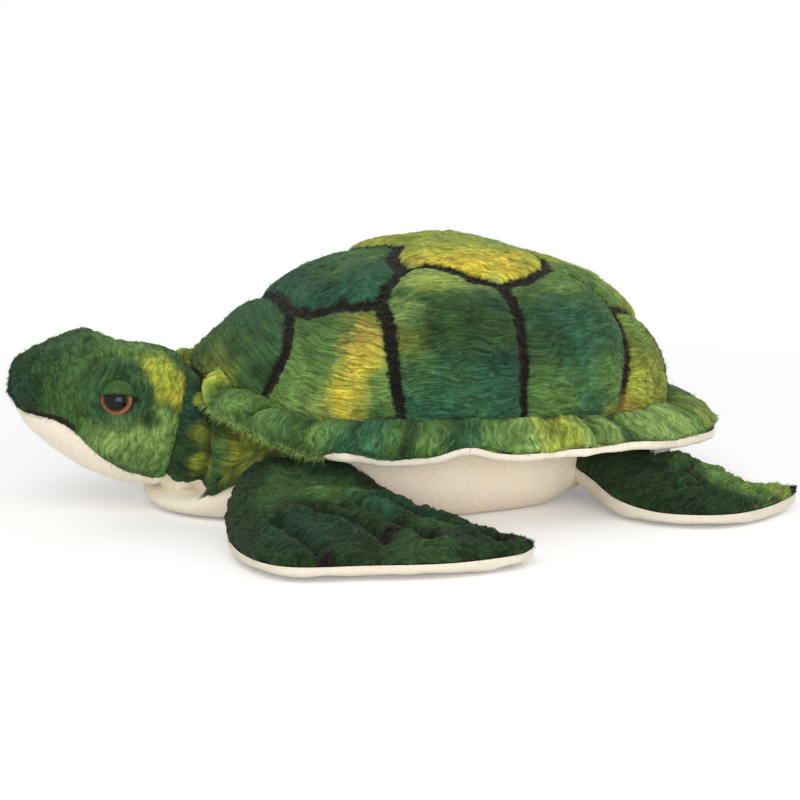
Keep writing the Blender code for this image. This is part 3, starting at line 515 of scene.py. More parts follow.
# Each plate's ground colour, the turn of its pile in degrees, and its spots of dye
plateDyes = {
    "front": ("green", 52, [
        (-.66, -.09, .15, "teal", .8), (-.70, -.30, .12, "teal", .4),
        (-.93, -.16, .13, "olive", .95), (-.90, -.29, .08, "olive", .6),
        (-.76, -.41, .07, "deepGreen", .8), (-.90, .0, .2, "green", .6),
        (-.82, -.20, .10, "deepGreen", .4)]),
    "frontTop": ("teal", 38, [
        (-.43, -.25, .13, "deepTeal", .7), (-.24, -.27, .12, "teal", .8),
        (-.34, -.10, .13, "leaf", .5), (-.48, -.05, .12, "deepTeal", .5),
        (-.52, -.21, .08, "teal", .8)]),
    "firstSide": ("leaf", 8, [
        (-.50, -.37, .12, "green", .9), (-.37, -.44, .07, "olive", .7),
        (-.60, -.50, .12, "leaf", .7), (-.46, -.50, .08, "green", .5),
        (-.385, -.575, .10, "orange", .55), (-.41, -.64, .09, "yellow", .6),
        (-.50, -.68, .10, "yellow", .6), (-.61, -.71, .11, "yellow", .8),
        (-.54, -.77, .08, "yellow", .4), (-.64, -.60, .11, "leaf", .8),
        (-.74, -.66, .13, "lightLeaf", .5),
        (-.43, -.88, .10, "green", .9), (-.68, -.83, .10, "leaf", .6)]),
    "secondSide": ("green", -10, [
        (-.14, -.33, .11, "lightLeaf", 1.0), (-.05, -.37, .12, "lightLeaf", .8),
        (-.12, -.40, .08, "lime", .4), (-.24, -.50, .09, "lightLeaf", .8),
        (-.27, -.62, .08, "olive", .6),
        (-.10, -.57, .15, "deepGreen", .55), (-.03, -.68, .18, "deepGreen", .65),
        (.00, -.81, .15, "deepTeal", .9), (-.24, -.86, .15, "teal", .9),
        (-.09, -.95, .15, "teal", .8), (-.28, -.74, .09, "green", .6),
        (.02, -.52, .07, "deepTeal", .5)]),
    "top": ("lightLeaf", -14, [
        (-.05, -.19, .10, "orange", .6), (-.08, -.12, .12, "lime", .9),
        (.02, -.29, .12, "yellow", 1.0), (.10, -.24, .11, "yellow", .9),
        (-.06, -.24, .07, "yellow", .6), (.02, -.10, .12, "lime", .7),
        (.18, -.10, .10, "lightLeaf", .8), (.14, -.28, .06, "lime", .6)]),
    "thirdSide": ("green", -12, [
        (.13, -.42, .12, "leaf", .6), (.24, -.37, .12, "leaf", .7),
        (.18, -.59, .15, "deepTeal", .75), (.30, -.54, .14, "teal", .7),
        (.23, -.73, .13, "teal", .8), (.12, -.71, .10, "deepGreen", .7),
        (.40, -.77, .12, "leaf", .5), (.17, -.92, .17, "leaf", .35),
        (.36, -.94, .15, "teal", .8), (.45, -.89, .08, "olive", .6),
        (.34, -.42, .08, "green", .6)]),
    "rearTop": ("leaf", 15, [
        (.30, -.11, .13, "lime", .9), (.43, -.18, .13, "lightLeaf", .9),
        (.52, -.14, .14, "lime", .8), (.31, -.24, .08, "green", .6),
        (.50, -.27, .08, "olive", .6)]),
    "rearSide": ("olive", 10, [
        (.52, -.45, .11, "leaf", .7), (.60, -.57, .11, "olive", .8),
        (.58, -.73, .13, "lime", .9), (.54, -.86, .11, "gold", .9),
        (.72, -.56, .11, "lime", .5), (.78, -.72, .10, "green", .6)]),
    "tail": ("green", 0, [
        (.72, -.18, .14, "olive", .8), (.82, -.08, .14, "teal", .7),
        (.80, -.30, .12, "teal", .6), (.94, -.26, .12, "green", .6)]),
}


def insideOutline(points, outline):
    x, y = points[..., 0], points[..., 1]
    inside = np.zeros(x.shape, bool)
    for (x0, y0), (x1, y1) in zip(outline, np.roll(outline, -1, axis=0)):
        crosses = (y0 > y) != (y1 > y)
        if y1 != y0:
            inside ^= crosses & (x < (x1 - x0) * (y - y0) / (y1 - y0) + x0)
    return inside


def seamDistances(points):
    # How far each point lies from the nearest seam, in half widths of that seam and in metres
    nearest = np.full(points.shape[:-1], 1e9)
    away = np.full(points.shape[:-1], 1e9)
    for name, (_, wide, narrow) in seams.items():
        half = np.linspace(wide, narrow, 60) / 2000.0
        for side in (1, -1):
            line = seamLine(name) * (1.0, 1.0 if side > 0 else 1.0 / shell["farHalf"])
            share = np.hypot(line[:, 0], line[:, 1])
            angle = np.arctan2(line[:, 1], line[:, 0])
            track = shellPoint(np.minimum(share, 1.0), angle * side)
            low, high = track.min(axis=0) - 0.02, track.max(axis=0) + 0.02
            close = np.all((points > low) & (points < high), axis=-1)
            gap = np.linalg.norm(points[close][:, None, :] - track[None], axis=-1)
            best = gap.argmin(axis=1)
            metres = gap[np.arange(len(best)), best]
            nearest[close] = np.minimum(nearest[close], metres / half[best])
            away[close] = np.minimum(away[close], np.maximum(metres - half[best], 0.0))
    return nearest, away


def discGrid(steps):
    # A square grid bent into a disc, so that the faces stay even
    axis = np.linspace(-1.0, 1.0, steps + 1)
    a, b = np.meshgrid(axis, axis, indexing="ij")
    wide = np.abs(a) > np.abs(b)
    longer = np.where(wide, a, b)
    ratio = np.where(longer == 0, 0.0, np.where(wide, b, a) / np.where(longer == 0, 1.0, longer))
    bend = ratio * math.pi / 4
    return (np.where(wide, longer * np.cos(bend), longer * np.sin(bend)),
            np.where(wide, longer * np.sin(bend), longer * np.cos(bend)))


def plateColours(places, wobble):
    # The dye of each plate, the turn of its pile, its number, and where the pile runs straight
    colour = plain(places, "green")
    lie, number = np.zeros(wobble.shape), np.zeros(wobble.shape)
    crown = np.zeros(wobble.shape, bool)
    for count, (name, outline) in enumerate(plates.items()):
        ground, turn, spots = plateDyes[name]
        inside = insideOutline(places, outline)
        colour[inside] = painted(plain(places[inside], ground), places[inside], spots,
                                 wobble[inside])
        lie[inside] = math.radians(turn)
        number[inside] = count * 5.7
        crown[inside] |= name in shell["straightPile"]
    return colour, lie, number, crown


def makeShell():
    discX, discY = discGrid(shell["gridSteps"])
    radius = np.hypot(discX, discY) * (1.0 + shell["hem"])
    angle = np.arctan2(discY, discX)
    share = np.minimum(radius, 1.0)
    points = shellPoint(share, angle)
    # The hem below the base turns in under the brim
    hem = np.clip((radius - 1.0) / shell["hem"], 0.0, 1.0)
    points[..., 2] -= shell["hemDrop"] * hem
    inwards = unit(stacked(shell["middleX"] - points[..., 0], -points[..., 1], 0.0))
    points = raised(points, inwards, shell["hemIn"] * hem)
    normals = gridNormals(points)
    halves, away = seamDistances(points + cloud(points, 0.006, 71)[..., None] * 0.0006)
    # Stuffed plates: they swell between the seams, which pull the cloth in
    puff = 1.0 - np.exp(-away / shell["swellReach"])
    groove = bell(halves, 0.0, shell["seamReach"])
    lift = (shell["plateSwell"] * (puff - 0.55) - shell["seamDepth"] * groove
            + lumpy(points, *shell["sags"]) * puff)
    points = raised(points, normals, lift * (1.0 - 0.8 * smooth(share, 0.93, 1.0)))
    x, y = share * np.cos(angle), share * np.sin(angle)
    near = np.where(y > 0, -y * shell["farHalf"], y) - 1e-5
    wobble = cloud(points, 0.014, 41, 3) * 0.5
    colour, lie, number, crown = plateColours(np.stack([x, near], axis=-1), wobble)
    ragged = halves + cloud(points, 0.0016, 43, 2) * 0.38
    seamShare = (1.0 - smooth(ragged, 0.72, 1.28))[..., None]
    foot = smooth(share, 0.86, 0.97) * smooth(discX, 0.38, 0.42) * (1 - smooth(discX, 0.5, 0.6))
    seamColour = mixed(dye["seam"], dye["gold"], (0.6 * foot)[..., None])
    colour = mixed(colour, seamColour, seamShare)
    # Ripples of the pile run level round the shell, and straight over its top
    along = angle * 0.13 * np.maximum(share, 0.15)
    down = share * 0.19
    s = along * np.cos(lie) + down * np.sin(lie)
    t = down * np.cos(lie) - along * np.sin(lie)
    s = np.where(crown, points[..., 0] * 0.94 - points[..., 1] * 0.34, s)
    t = np.where(crown, points[..., 0] * 0.34 + points[..., 1] * 0.94, t)
    s = s + cloud(points, 0.012, 47, 2) * 0.004
    t = t + lumpy(points, (0.017, 0.0042, 53, 2), (0.006, 0.0010, 57, 1))
    pile = stacked(s / shell["rippleLength"], t / shell["rippleWidth"], number)
    normals = gridNormals(points)
    points, colour = brushed(points, normals, colour, pile, shell["pile"], 61)
    piece = makePiece("carapacePlush", points, colour, pile, shellPlush)
    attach(piece, "trunk")
    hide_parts("carapace_cover", "body_filling")
    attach(addFuzz("carapaceFuzz", points, normals, colour, shell["hairs"], shell["hairLength"],
                    401), "trunk")


makeShell()
print("shell made")


brim = {
    "front": 0.024, "frontPull": 0.019, "side": 0.012, "rear": 0.0285,
    "edgeFront": 0.077, "edgeSide": 0.0435, "edgeRear": 0.036, "puff": 0.0052,
    "creases": (21, 33, 47, 57.5, 70, 79, 89, 97, 106, 114, 127, 143, 162),
    "across": 44, "around": 1500, "liningRows": 36, "pile": 0.0009, "hairs": 3000,
    "hairLength": 0.0034,
    "liningLumps": ((0.012, 0.0008, 101, 2), (0.0028, 0.00025, 103, 2)),
    # Bands of dye: degrees from the front, half width in degrees, dye, strength
    "dyes": (
        (16, 4, "lime", .8), (24, 6, "leaf", .5), (34, 8, "leaf", .8), (44, 8, "green", .6),
        (52, 5, "leaf", .6), (61, 7, "teal", .8), (70, 6, "green", .7), (76, 4, "leaf", .4),
        (82, 4, "teal", .6), (88, 5, "leaf", .8), (95, 6, "lightLeaf", .9), (99, 6, "lime", .75),
        (107, 6, "lightLeaf", .8), (114, 4, "green", .8), (121, 6, "lightLeaf", .7),
        (130, 8, "lightLeaf", .9), (142, 7, "leaf", .8), (152, 7, "olive", .5),
        (162, 8, "lightLeaf", .6), (174, 9, "green", .7)),
}
belly = {
    "front": 0.153, "rear": 0.131, "halfWidth": 0.090, "middleZ": 0.024, "chestZ": 0.0068,
    "round": 0.018, "flat": 0.0005, "topTurn": 64.0, "collarZ": 0.067, "wallX": -0.106,
    "around": 900, "rows": 120, "lumps": ((0.05, 0.0016, 111, 2), (0.016, 0.0004, 113, 1)),
}


def brimEdge(angle):
    off = frontOff(angle)
    front = shell["front"] + brim["front"] - brim["frontPull"] * (1.0 - smooth(off, 10.0, 19.0))
    x, y = ovalPoint(angle, front, shell["rear"] + brim["rear"], shell["halfWidth"] + brim["side"])
    toFront = 1.0 - (1.0 - np.maximum(-np.cos(angle), 0.0) ** 7.0) ** 1.6
    toRear = np.maximum(np.cos(angle), 0.0) ** 1.5
    z = brim["edgeSide"] + (brim["edgeFront"] - brim["edgeSide"]) * toFront
    z = z + (brim["edgeRear"] - brim["edgeSide"]) * toRear
    return stacked(shell["middleX"] + x, y, z)


def bellyRing(angle, turn, inset=0.0):
    # turn is the angle up the belly's bulge: 90 degrees at its top, -90 at its underside
    openShare = neckShare(angle)
    middleZ = mixed(belly["middleZ"], belly["chestZ"], openShare)
    bulge = np.minimum(belly["round"], 0.012 + middleZ / 4)
    x, y = ovalPoint(angle, 1.0, 1.0, 1.0)
    x = x * np.where(np.cos(angle) > 0, belly["rear"] - bulge, belly["front"] - bulge)
    y = y * (belly["halfWidth"] - bulge)
    outwards = unit(stacked(x / belly["front"], y / belly["halfWidth"], 0.0))
    point = stacked(x, y, middleZ) + outwards * ((bulge - inset) * np.cos(turn))[..., None]
    point[..., 2] += (middleZ + belly["flat"] - inset) * np.sin(turn)
    return point


def liningEnd(angle):
    end = bellyRing(angle, np.full(angle.shape, math.radians(belly["topTurn"])))
    openShare = neckShare(angle)
    end[..., 0] = mixed(end[..., 0], np.maximum(end[..., 0], belly["wallX"] - 0.010), openShare)
    sideZ = bellyRing(np.zeros(1), np.full(1, math.radians(belly["topTurn"])))[0, 2]
    end[..., 2] = mixed(sideZ, belly["collarZ"], openShare)
    return end


def brimLumps(angle):
    # 1 in the middle of each padded lump, 0 in the creases between them
    off = frontOff(angle)
    near = np.sin(angle) < 0
    dips = np.zeros(angle.shape)
    for side, shift in ((True, 0.0), (False, 1.0)):
        for count, crease in enumerate(brim["creases"]):
            place = crease + shift * 3.0 * math.sin(count * 2.4 + 1.0)
            depth = 0.75 + 0.25 * math.sin(count * 1.7 + shift)
            width = 2.3 + 0.7 * math.sin(count * 2.9)
            one = depth * np.exp(-((off - place) / width) ** 2)
            dips = np.maximum(dips, np.where(near == side, one, 0.0))
    return 1.0 - dips


def brimCurves(angle):
    # The corners of the brim's section: tucked under the shell, over the top, round the edge
    base = shellBase(angle)
    edge = brimEdge(angle)
    end = liningEnd(angle)
    off = frontOff(angle)
    near = np.sin(angle) < 0
    lump = brimLumps(angle)
    place = stacked(np.cos(angle) * 0.15, np.sin(angle) * 0.15, 0.0)
    wave = cloud(place, 0.028, 83) * mixed(0.0042, 0.0018, smooth(off, 46.0, 60.0))
    peak = np.where(near, np.exp(-((off - 82.0) / 4.6) ** 2), 0.0)
    edge[..., 2] += wave + 0.0045 * peak
    out = unit(stacked(base[..., 0] - shell["middleX"], base[..., 1], 0.0))
    edge = edge + out * (0.0008 * (lump - 0.6) + cloud(place, 0.02, 87) * 0.0008)[..., None]
    down = unit(edge - base)
    flat = np.sum(down * out, axis=-1, keepdims=True)
    upward = np.array([0.0, 0.0, 1.0]) * flat - out * down[..., 2:3]
    puff = (brim["puff"] * lump)[..., None]
    collar = (1.0 - smooth(off, 50.0, 58.0))[..., None]
    lift = np.array([0.0, 0.0, 1.0])
    border = edge + upward * mixed(0.0016, -0.0012, collar) + lift * mixed(0.0016, -0.001, collar)
    lip = edge + upward * mixed(-0.0034, -0.0034, collar) - out * mixed(-0.0004, 0.003, collar)
    return np.stack([
        base - out * 0.005 + lift * 0.001,
        base + upward * (0.0020 + 0.45 * puff) + down * 0.0005,
        mixed(base, edge, 0.5) + upward * (0.0032 + puff),
        edge - down * 0.0035 + upward * (0.0034 + 0.5 * puff),
        border,
        lip,
        mixed(edge, end, 0.35) - lift * 0.0012,
        mixed(edge, end, 0.75) - lift * 0.0005,
        end - out * 0.004,
    ])


def brimColours(points, share, angle, lump):
    wobble = cloud(points, 0.013, 93, 3) * 0.4
    off = frontOff(angle)
    colour = plain(points, "green")
    for place, width, name, strength in brim["dyes"]:
        shift = np.where(np.sin(angle) < 0, 0.0, 6.0 * math.sin(place))
        away = np.abs(off - place - shift) / width + wobble
        colour = dyed(colour, name, strength * (1 - smooth(away, 0.5, 1.3)))
    # Painted light and shade: paler along the top of the lumps, painted shade in the creases and
    # where the brim meets the shell
    colour = colour * (0.54 + 0.46 * lump[..., None])
    ridge = smooth(share, 0.35, 0.6) * (1 - smooth(share, 0.75, 0.95))
    colour = colour * (1.0 + 0.22 * (ridge * lump)[..., None])
    colour = colour * (1.0 - 0.45 * (1 - smooth(share, 0.12, 0.3))[..., None])
    frayed = smooth(share, 0.9, 1.0) * (1 - smooth(off, 46, 56))
    return dyed(colour, "lightLeaf", 0.7 * frayed)


def makeBrim():
    around = brim["around"]
    angle = np.arange(around) / around * 2 * math.pi
    corners = brimCurves(angle)
    # The green band
    rows = np.linspace(0.0, 0.5, brim["across"])
    points = through(corners, rows)
    share, grid, lump = np.broadcast_arrays((rows * 2)[:, None], angle, brimLumps(angle))
    normals = gridNormals(points, True)
    soft = cloud(points, 0.014, 91, 2) * 0.0022 * smooth(share, 0.0, 0.3)
    points = raised(points, normals, soft)
    crown = smooth(share, 0.10, 0.35) * (1 - smooth(share, 0.75, 0.95))
    points = raised(points, normals, 0.0030 * (lump - 0.55) * crown)
    colour = brimColours(points, share, grid, lump)
    pile = stacked(share * 0.024 / 0.0038 + cloud(points, 0.012, 97, 2) * 1.2,
                   grid * 0.15 / 0.0015 + cloud(points, 0.011, 95, 2) * 3.4, 3.3)
    normals = gridNormals(points, True)
    points, colour = brushed(points, normals, colour, pile, brim["pile"], 99)
    green = makePiece("brimPlush", points, colour, pile, shellPlush, wrap=True)
    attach(addFuzz("brimFuzz", points, normals, colour, brim["hairs"], brim["hairLength"],
                    403), "trunk")
    # The cream lining under it
    points = through(corners, np.linspace(0.5, 1.0, brim["liningRows"]))
    points = raised(points, gridNormals(points, True), lumpy(points, *brim["liningLumps"]))
    # Over the neck the lining is dyed like the collar, and its cream starts at a cross seam
    ragged = frontOff(angle) + cloud(points, 0.003, 105) * 0.8
    colour = dyed(plain(points, "cream"), "deepGreen", 1.0 - smooth(ragged, 53.0, 54.5))
    cream = makePiece("brimLiningPlush", points, colour, points / 0.0022, creamPlush, wrap=True)
    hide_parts("brim_upper", "brim_padding")
    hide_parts("brim_lining")
    for piece in (green, cream):
        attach(piece, "trunk")


fringe = {
    "from": 14.0, "to": 54.0, "hairs": 1500, "tuftFrom": 13.5, "tuftTo": 19.0, "tuftHairs": 700,
    "hairLength": 0.0052,
}


def makeFringe():
    # The frayed edge of the collar over the neck, thickest in a tuft at each front corner
    rng = np.random.default_rng(405)
    off = np.concatenate([rng.uniform(fringe["from"], fringe["to"], fringe["hairs"]),
                          rng.uniform(fringe["tuftFrom"], fringe["tuftTo"], fringe["tuftHairs"])])
    angle = np.radians(180.0 + off * np.where(rng.random(len(off)) < 0.5, 1.0, -1.0))
    corners = brimCurves(angle)
    roots = mixed(corners[4], corners[5], rng.uniform(-0.3, 0.8, (len(off), 1)))
    tuft = (off < fringe["tuftTo"])[:, None]
    ways = unit(stacked(np.cos(angle), np.sin(angle), 0.0))
    ways = ways + np.where(tuft, [-0.3, 0.0, 0.1], [0.0, 0.0, -0.5])
    colour = np.where(tuft, dye["lime"], dye["lightLeaf"])
    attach(makeStrands("collarFringe", roots, ways, colour, fringe["hairLength"], 407), "trunk")


makeBrim()
makeFringe()
print("brim made")


def makeBelly():
    angle = np.arange(belly["around"]) / belly["around"] * 2 * math.pi
    share = np.linspace(0.0, 1.0, belly["rows"])[:, None]
    cap = 1.0 - np.minimum(share / 0.12, 1.0)
    share = np.maximum(share - 0.12, 0.0) / 0.88
    turn = np.radians(mixed(84.0, -90.0, np.minimum(share / 0.55, 1.0)))
    grid, turns = np.broadcast_arrays(angle, turn)
    points = bellyRing(grid, turns)
    # The underside closes in to the middle
    closing = np.clip((share - 0.55) / 0.45, 0.0, 1.0)
    points[..., :2] *= ((1.0 - closing) * (1.0 - 0.32 * cap))[..., None]
    points[..., 2] -= 0.0010 * cap
    normals = gridNormals(points, True)
    points = raised(points, normals, lumpy(points, *belly["lumps"]) * (1 - closing))
    rise = smooth(points[..., 0], 0.045, 0.125) * (1 - smooth(points[..., 2], 0.016, 0.040))
    points[..., 2] += 0.010 * rise * (1 - closing) ** 2
    points[..., 2] = np.maximum(points[..., 2], 0.0) - belly["flat"]
    nap = cloud(points, cloth["creamNap"], 115, 2) * cloth["creamHeight"]
    points = raised(points, normals, nap * (1 - closing))
    chest = 1 - smooth(points[..., 0], -0.10, -0.05)
    colour = dyed(plain(points, "bellyCream"), "cream", chest)
    # Green where the shoulders lie over it
    off = frontOff(grid)
    beside = smooth(off, 30.0, 34.0) * (1 - smooth(off, 69.0, 72.0))
    colour = dyed(colour, "deepGreen", beside * smooth(np.degrees(turn), 20.0, 28.0))
    piece = makePiece("bellyPlush", points, colour, points / cloth["creamWeave"], creamPlush,
                      wrap=True)
    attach(piece, "trunk")
    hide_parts("belly_cover", "body_filling")


shoulder = {
    "halfTurn": 76.0, "around": 240, "rows": 60, "reach": 42.0, "pile": 0.0009,
    "lump": (0.018, 0.0015, 121, 2),
    "spots": ((-.105, -.060, .040, .026, "olive", .8), (-.105, .060, .040, .026, "olive", .8)),
}


def makeShoulders():
    # The cloth that closes the body round the neck, under the collar
    around = shoulder["around"]
    widest = shoulder["halfTurn"]
    angle = np.radians(180.0 + np.linspace(-widest, widest, around))
    off = frontOff(angle)
    reach = shoulder["reach"] * smooth(off, 31.0, 38.0) * (1.0 - smooth(off, 68.0, widest))
    beside = smooth(off, 30.0, 34.0)
    inset = mixed(0.0030, -0.0017, beside)
    under = bellyRing(angle, np.radians(52.0 - reach), inset)
    between = bellyRing(angle, np.radians(56.0 - 0.5 * reach), inset)
    low = bellyRing(angle, np.full(around, math.radians(60.0)))
    end = liningEnd(angle)
    inwards = unit(stacked(-low[..., 0], -low[..., 1], 0.0))
    wallX = np.maximum(low[..., 0], belly["wallX"] - 0.001)
    wall = stacked(mixed(low[..., 0], wallX, neckShare(angle)), low[..., 1], low[..., 2])
    top = wall.copy()
    top[..., 2] = end[..., 2] - 0.004
    low = raised(low, inwards, mixed(0.0030, 0.0004, beside))
    low[..., 2] -= 0.0030 * (1.0 - beside)
    corners = np.stack([under, between, low, mixed(low, wall, 0.7), mixed(wall, top, 0.5), top,
                        end + np.array([0.0, 0.0, 0.004])])
    corners[3:] += inwards * 0.0012
    points = through(corners, np.linspace(0.0, 1.0, shoulder["rows"]))
    normals = -gridNormals(points)
    points = raised(points, normals, lumpy(points, shoulder["lump"]))
    wobble = cloud(points, 0.012, 123, 2) * 0.4
    colour = painted(plain(points, "deepGreen"), points, shoulder["spots"], wobble)
    pile = stacked(points[..., 2] / 0.0060, points[..., 1] / 0.0016, 1.7)
    points, colour = brushed(points, normals, colour, pile, shoulder["pile"], 125)
    piece = makePiece("shoulderPlush", points, colour, pile, skinPlush, flipped=True)
    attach(piece, "trunk")
    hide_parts("shoulder_cover")


makeBelly()
makeShoulders()
print("belly made")


# Each section: top x and z, bottom x and z, half width, and how much narrower its underside is
neckSections = [
    (-.1360, .0790, -.1490, .0105, .0335, .12), (-.1240, .0760, -.1350, .0050, .0430, .04),
    (-.1120, .0700, -.1180, .0040, .0540, .03), (-.0900, .0650, -.0900, .0070, .0640, .03),
]
headSections = [
    (-.1270, .0840, -.1440, .0110, .0330, .12), (-.1450, .0910, -.1570, .0125, .0375, .16),
    (-.1650, .0940, -.1705, .0155, .0400, .16), (-.1840, .1005, -.1860, .0225, .0370, .16),
    (-.2000, .0975, -.1995, .0320, .0310, .16), (-.2130, .0925, -.2120, .0430, .0240, .16),
    (-.2225, .0860, -.2210, .0540, .0160, .16), (-.2270, .0700, -.2270, .0695, .0003, .16),
]
mouthAngles = [-50.0, -54.0, -46.0, -37.0, -21.0, -25.0, -41.0, -80.0]
throatAngle = -37.0
# Spots on one side of the head and neck: x, y, z, radius, dye, strength
headSpots = [
    (-.205, .010, .095, .030, "deepTeal", .5), (-.222, .010, .070, .030, "deepGreen", 1.0),
    (-.224, .008, .072, .016, "deepTeal", .6),
    (-.190, .028, .080, .020, "green", .7), (-.200, .027, .060, .014, "green", .8),
    (-.165, .012, .098, .018, "leaf", .75), (-.150, .018, .089, .014, "leaf", .9),
    (-.186, .030, .047, .015, "leaf", .6), (-.172, .036, .044, .016, "lightLeaf", .85),
    (-.158, .036, .038, .016, "lightLeaf", .75), (-.150, .034, .052, .012, "lightLeaf", .7),
    (-.168, .034, .033, .012, "green", .5), (-.147, .032, .026, .010, "leaf", .7),
    (-.1465, .028, .0800, .0110, "lime", 1.0), (-.1400, .031, .0720, .0130, "lime", 1.0),
    (-.1340, .031, .0790, .0110, "lime", .9), (-.1480, .031, .0700, .0070, "lime", .9),
    (-.1370, .032, .0655, .0090, "yellow", .4),
    # Next: a lime spot, and a deepGreen spot that is painted shade in the cheek dimple
    (-.1440, .022, .0860, .0100, "lime", .6), (-.1545, .037, .0560, .0055, "deepGreen", .75),
]
neckSpots = [
    (-.131, .033, .065, .022, "deepTeal", .9), (-.137, .033, .035, .020, "deepGreen", 1.0),
    (-.126, .042, .046, .009, "olive", .9), (-.128, .042, .030, .008, "lime", .8),
    (-.118, .048, .055, .010, "deepGreen", .9), (-.107, .052, .045, .012, "olive", .9),
    (-.108, .050, .030, .012, "lime", .8), (-.112, .050, .066, .014, "green", .7),
]


def sectionPoints(sections, u, turn):
    values = through(sections, u)
    top = stacked(values[..., 0], 0.0, values[..., 1])
    bottom = stacked(values[..., 2], 0.0, values[..., 3])
    upright = (top - bottom) / 2
    length = np.linalg.norm(upright, axis=-1)
    power = 2.0 / shell["oval"]
    narrow = 1.0 - values[..., 5] * np.maximum(-np.sin(turn), 0.0)
    side = values[..., 4] * narrow * signedPower(np.cos(turn), power)
    rise = length * signedPower(np.sin(turn), power)
    points = (top + bottom) / 2 + unit(upright) * rise[..., None]
    points[..., 1] += side
    return points


def folded(points):
    return points * np.array([1.0, 0.0, 1.0]) + np.abs(points) * np.array([0.0, 1.0, 0.0])


def mouthTurn(u):
    return through(np.array(mouthAngles)[:, None], u)[..., 0]


head = {
    "rows": 330, "columns": 400, "pile": 0.0008, "hairs": 2600, "hairLength": 0.0026,
    "eye": (-.1712, .038, .0708), "eyeWeights": (1.0, 0.6, 1.0), "bareRound": .012,
    "dimple": (-.1535, .037, .0555), "cheek": (-.1620, .036, .0420),
    "nostril": (-.2175, .0135, .0775), "brow": (-.186, .014, .098),
    "slits": ((-.1840, .036, .0655), (-.1620, .039, .0670)), "slitWeights": (1, 0.5, 1.6),
    # Rings raised or sunk round those places: the place, the ring's radius, its width, its height
    "relief": (
        ("eye", 0.0138, 0.0044, 0.0040), ("eye", 0.0, 0.0080, -0.0026),
        ("eye", 0.0208, 0.0020, -0.0026), ("dimple", 0.0, 0.0055, -0.0040),
        ("cheek", 0.0, 0.014, 0.0024), ("nostril", 0.0, 0.0034, -0.0036),
        ("nostril", 0.0064, 0.0026, 0.0014), ("brow", 0.0, 0.006, 0.0015)),
}


def sectionNormals(sections, u, turn, step):
    ahead = sectionPoints(sections, np.minimum(u + step, 1.0), turn)
    behind = sectionPoints(sections, np.maximum(u - step, 0.0), turn)
    over = sectionPoints(sections, u, turn + 0.01)
    before = sectionPoints(sections, u, turn - 0.01)
    return unit(np.cross(ahead - behind, over - before))


def fromPlace(place, name):
    return far(place, head[name], head["eyeWeights"] if name == "eye" else 1.0)


def headForm(u, turn):
    # The head's surface with its raised eye patches, cheeks, dimples and nostrils
    points = sectionPoints(headSections, u, turn)
    place = folded(points)
    lift = sum(height * bell(fromPlace(place, name), ring, width)
               for name, ring, width, height in head["relief"])
    lift = lift + cloud(points, 0.020, 131, 2) * 0.0012 * smooth(1 - u, 0.02, 0.2)
    # The stitched edges pull the cloth in at the mouth and at the neck
    offMouth = np.abs(np.sin(turn) - np.sin(np.radians(mouthTurn(u)))) * 0.030
    lift = lift - 0.0012 * bell(offMouth, 0.0, 0.0024) * smooth(1 - u, 0.0, 0.15)
    lift = lift - 0.0026 * (1 - smooth(u, 0.0, 0.045))
    return raised(points, sectionNormals(headSections, u, turn, 0.002), lift)


def headColours(points, u, edge):
    place = folded(points)
    wobble = cloud(points, 0.012, 135, 3) * 0.4
    colour = painted(plain(points, "green"), place, headSpots, wobble)
    socket = 0.45 * (1 - smooth(fromPlace(place, "eye") + wobble * 0.004, 0.0165, 0.0205))
    colour = dyed(colour, "deepTeal", socket)
    ragged = edge + cloud(points, 0.003, 137, 2) * 0.0007
    mouthLine = (1 - smooth(ragged, 0.0052, 0.0068)) * smooth(u, 0.46, 0.56)
    nostril = 1 - smooth(fromPlace(place, "nostril") + wobble * 0.001, 0.0022, 0.0048)
    slits = [0.9 * bell(far(place, slit, head["slitWeights"]), 0, .0026) for slit in head["slits"]]
    colour = dyed(colour, "seam", np.max([mouthLine, nostril, *slits], axis=0))
    # Painted shade: darker at the back edge of the head, where it meets the neck
    return colour * (0.55 + 0.45 * smooth(u, 0.0, 0.05))[..., None]


def headGrid(columns):
    u, v = unitGrid(head["rows"], columns)
    return 1.0 - (1.0 - u) ** 1.2, v


def makeHead():
    u, v = headGrid(head["columns"])
    low = mouthTurn(u)
    turn = np.radians(mixed(low, 180.0 - low, v))
    points = headForm(u, turn)
    edge = np.minimum(v, 1 - v) * 0.14
    colour = headColours(points, u, edge)
    flow = cloud(points, 0.018, 139, 2)
    pile = stacked(turn * 0.036 / 0.0042 + flow * 1.8, u * 0.105 / 0.0015 + flow * 3.6, 7.7)
    normals = gridNormals(points)
    points, colour = brushed(points, normals, colour, pile, head["pile"], 141)
    points = raised(points, normals, 0.0010 * smooth(edge, 0.0, 0.002) - 0.0004)
    cover = makePiece("headPlush", points, colour, pile, skinPlush)
    hairy = fromPlace(folded(points), "eye") > head["bareRound"]
    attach(addFuzz("headFuzz", points[hairy][None], normals[hairy][None], colour[hairy][None],
                    head["hairs"], head["hairLength"], 409), "head")
    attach(cover, "head")
    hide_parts("head_cover", "head_filling")
    # The cream cloth under it, from the chin to the throat
    u, v = headGrid(head["columns"] // 2)
    low = mouthTurn(u)
    turn = np.radians(mixed(low + 1.0, -181.0 - low, v))
    jaw = makeCream("jawPlush", headForm(u, turn), 145, True, cloth["creamSink"])
    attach(jaw, "head")
    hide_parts("jaw_panel")


neck = {
    "rows": 120, "columns": 360, "pile": 0.0009, "throatTuck": 0.0022,
    # Upright folds where the neck is gathered: place along it, width, height
    "folds": ((0.21, 0.10, 0.0030), (0.42, 0.060, -0.0042), (0.60, 0.09, 0.0030),
              (0.78, 0.05, -0.0028)),
}


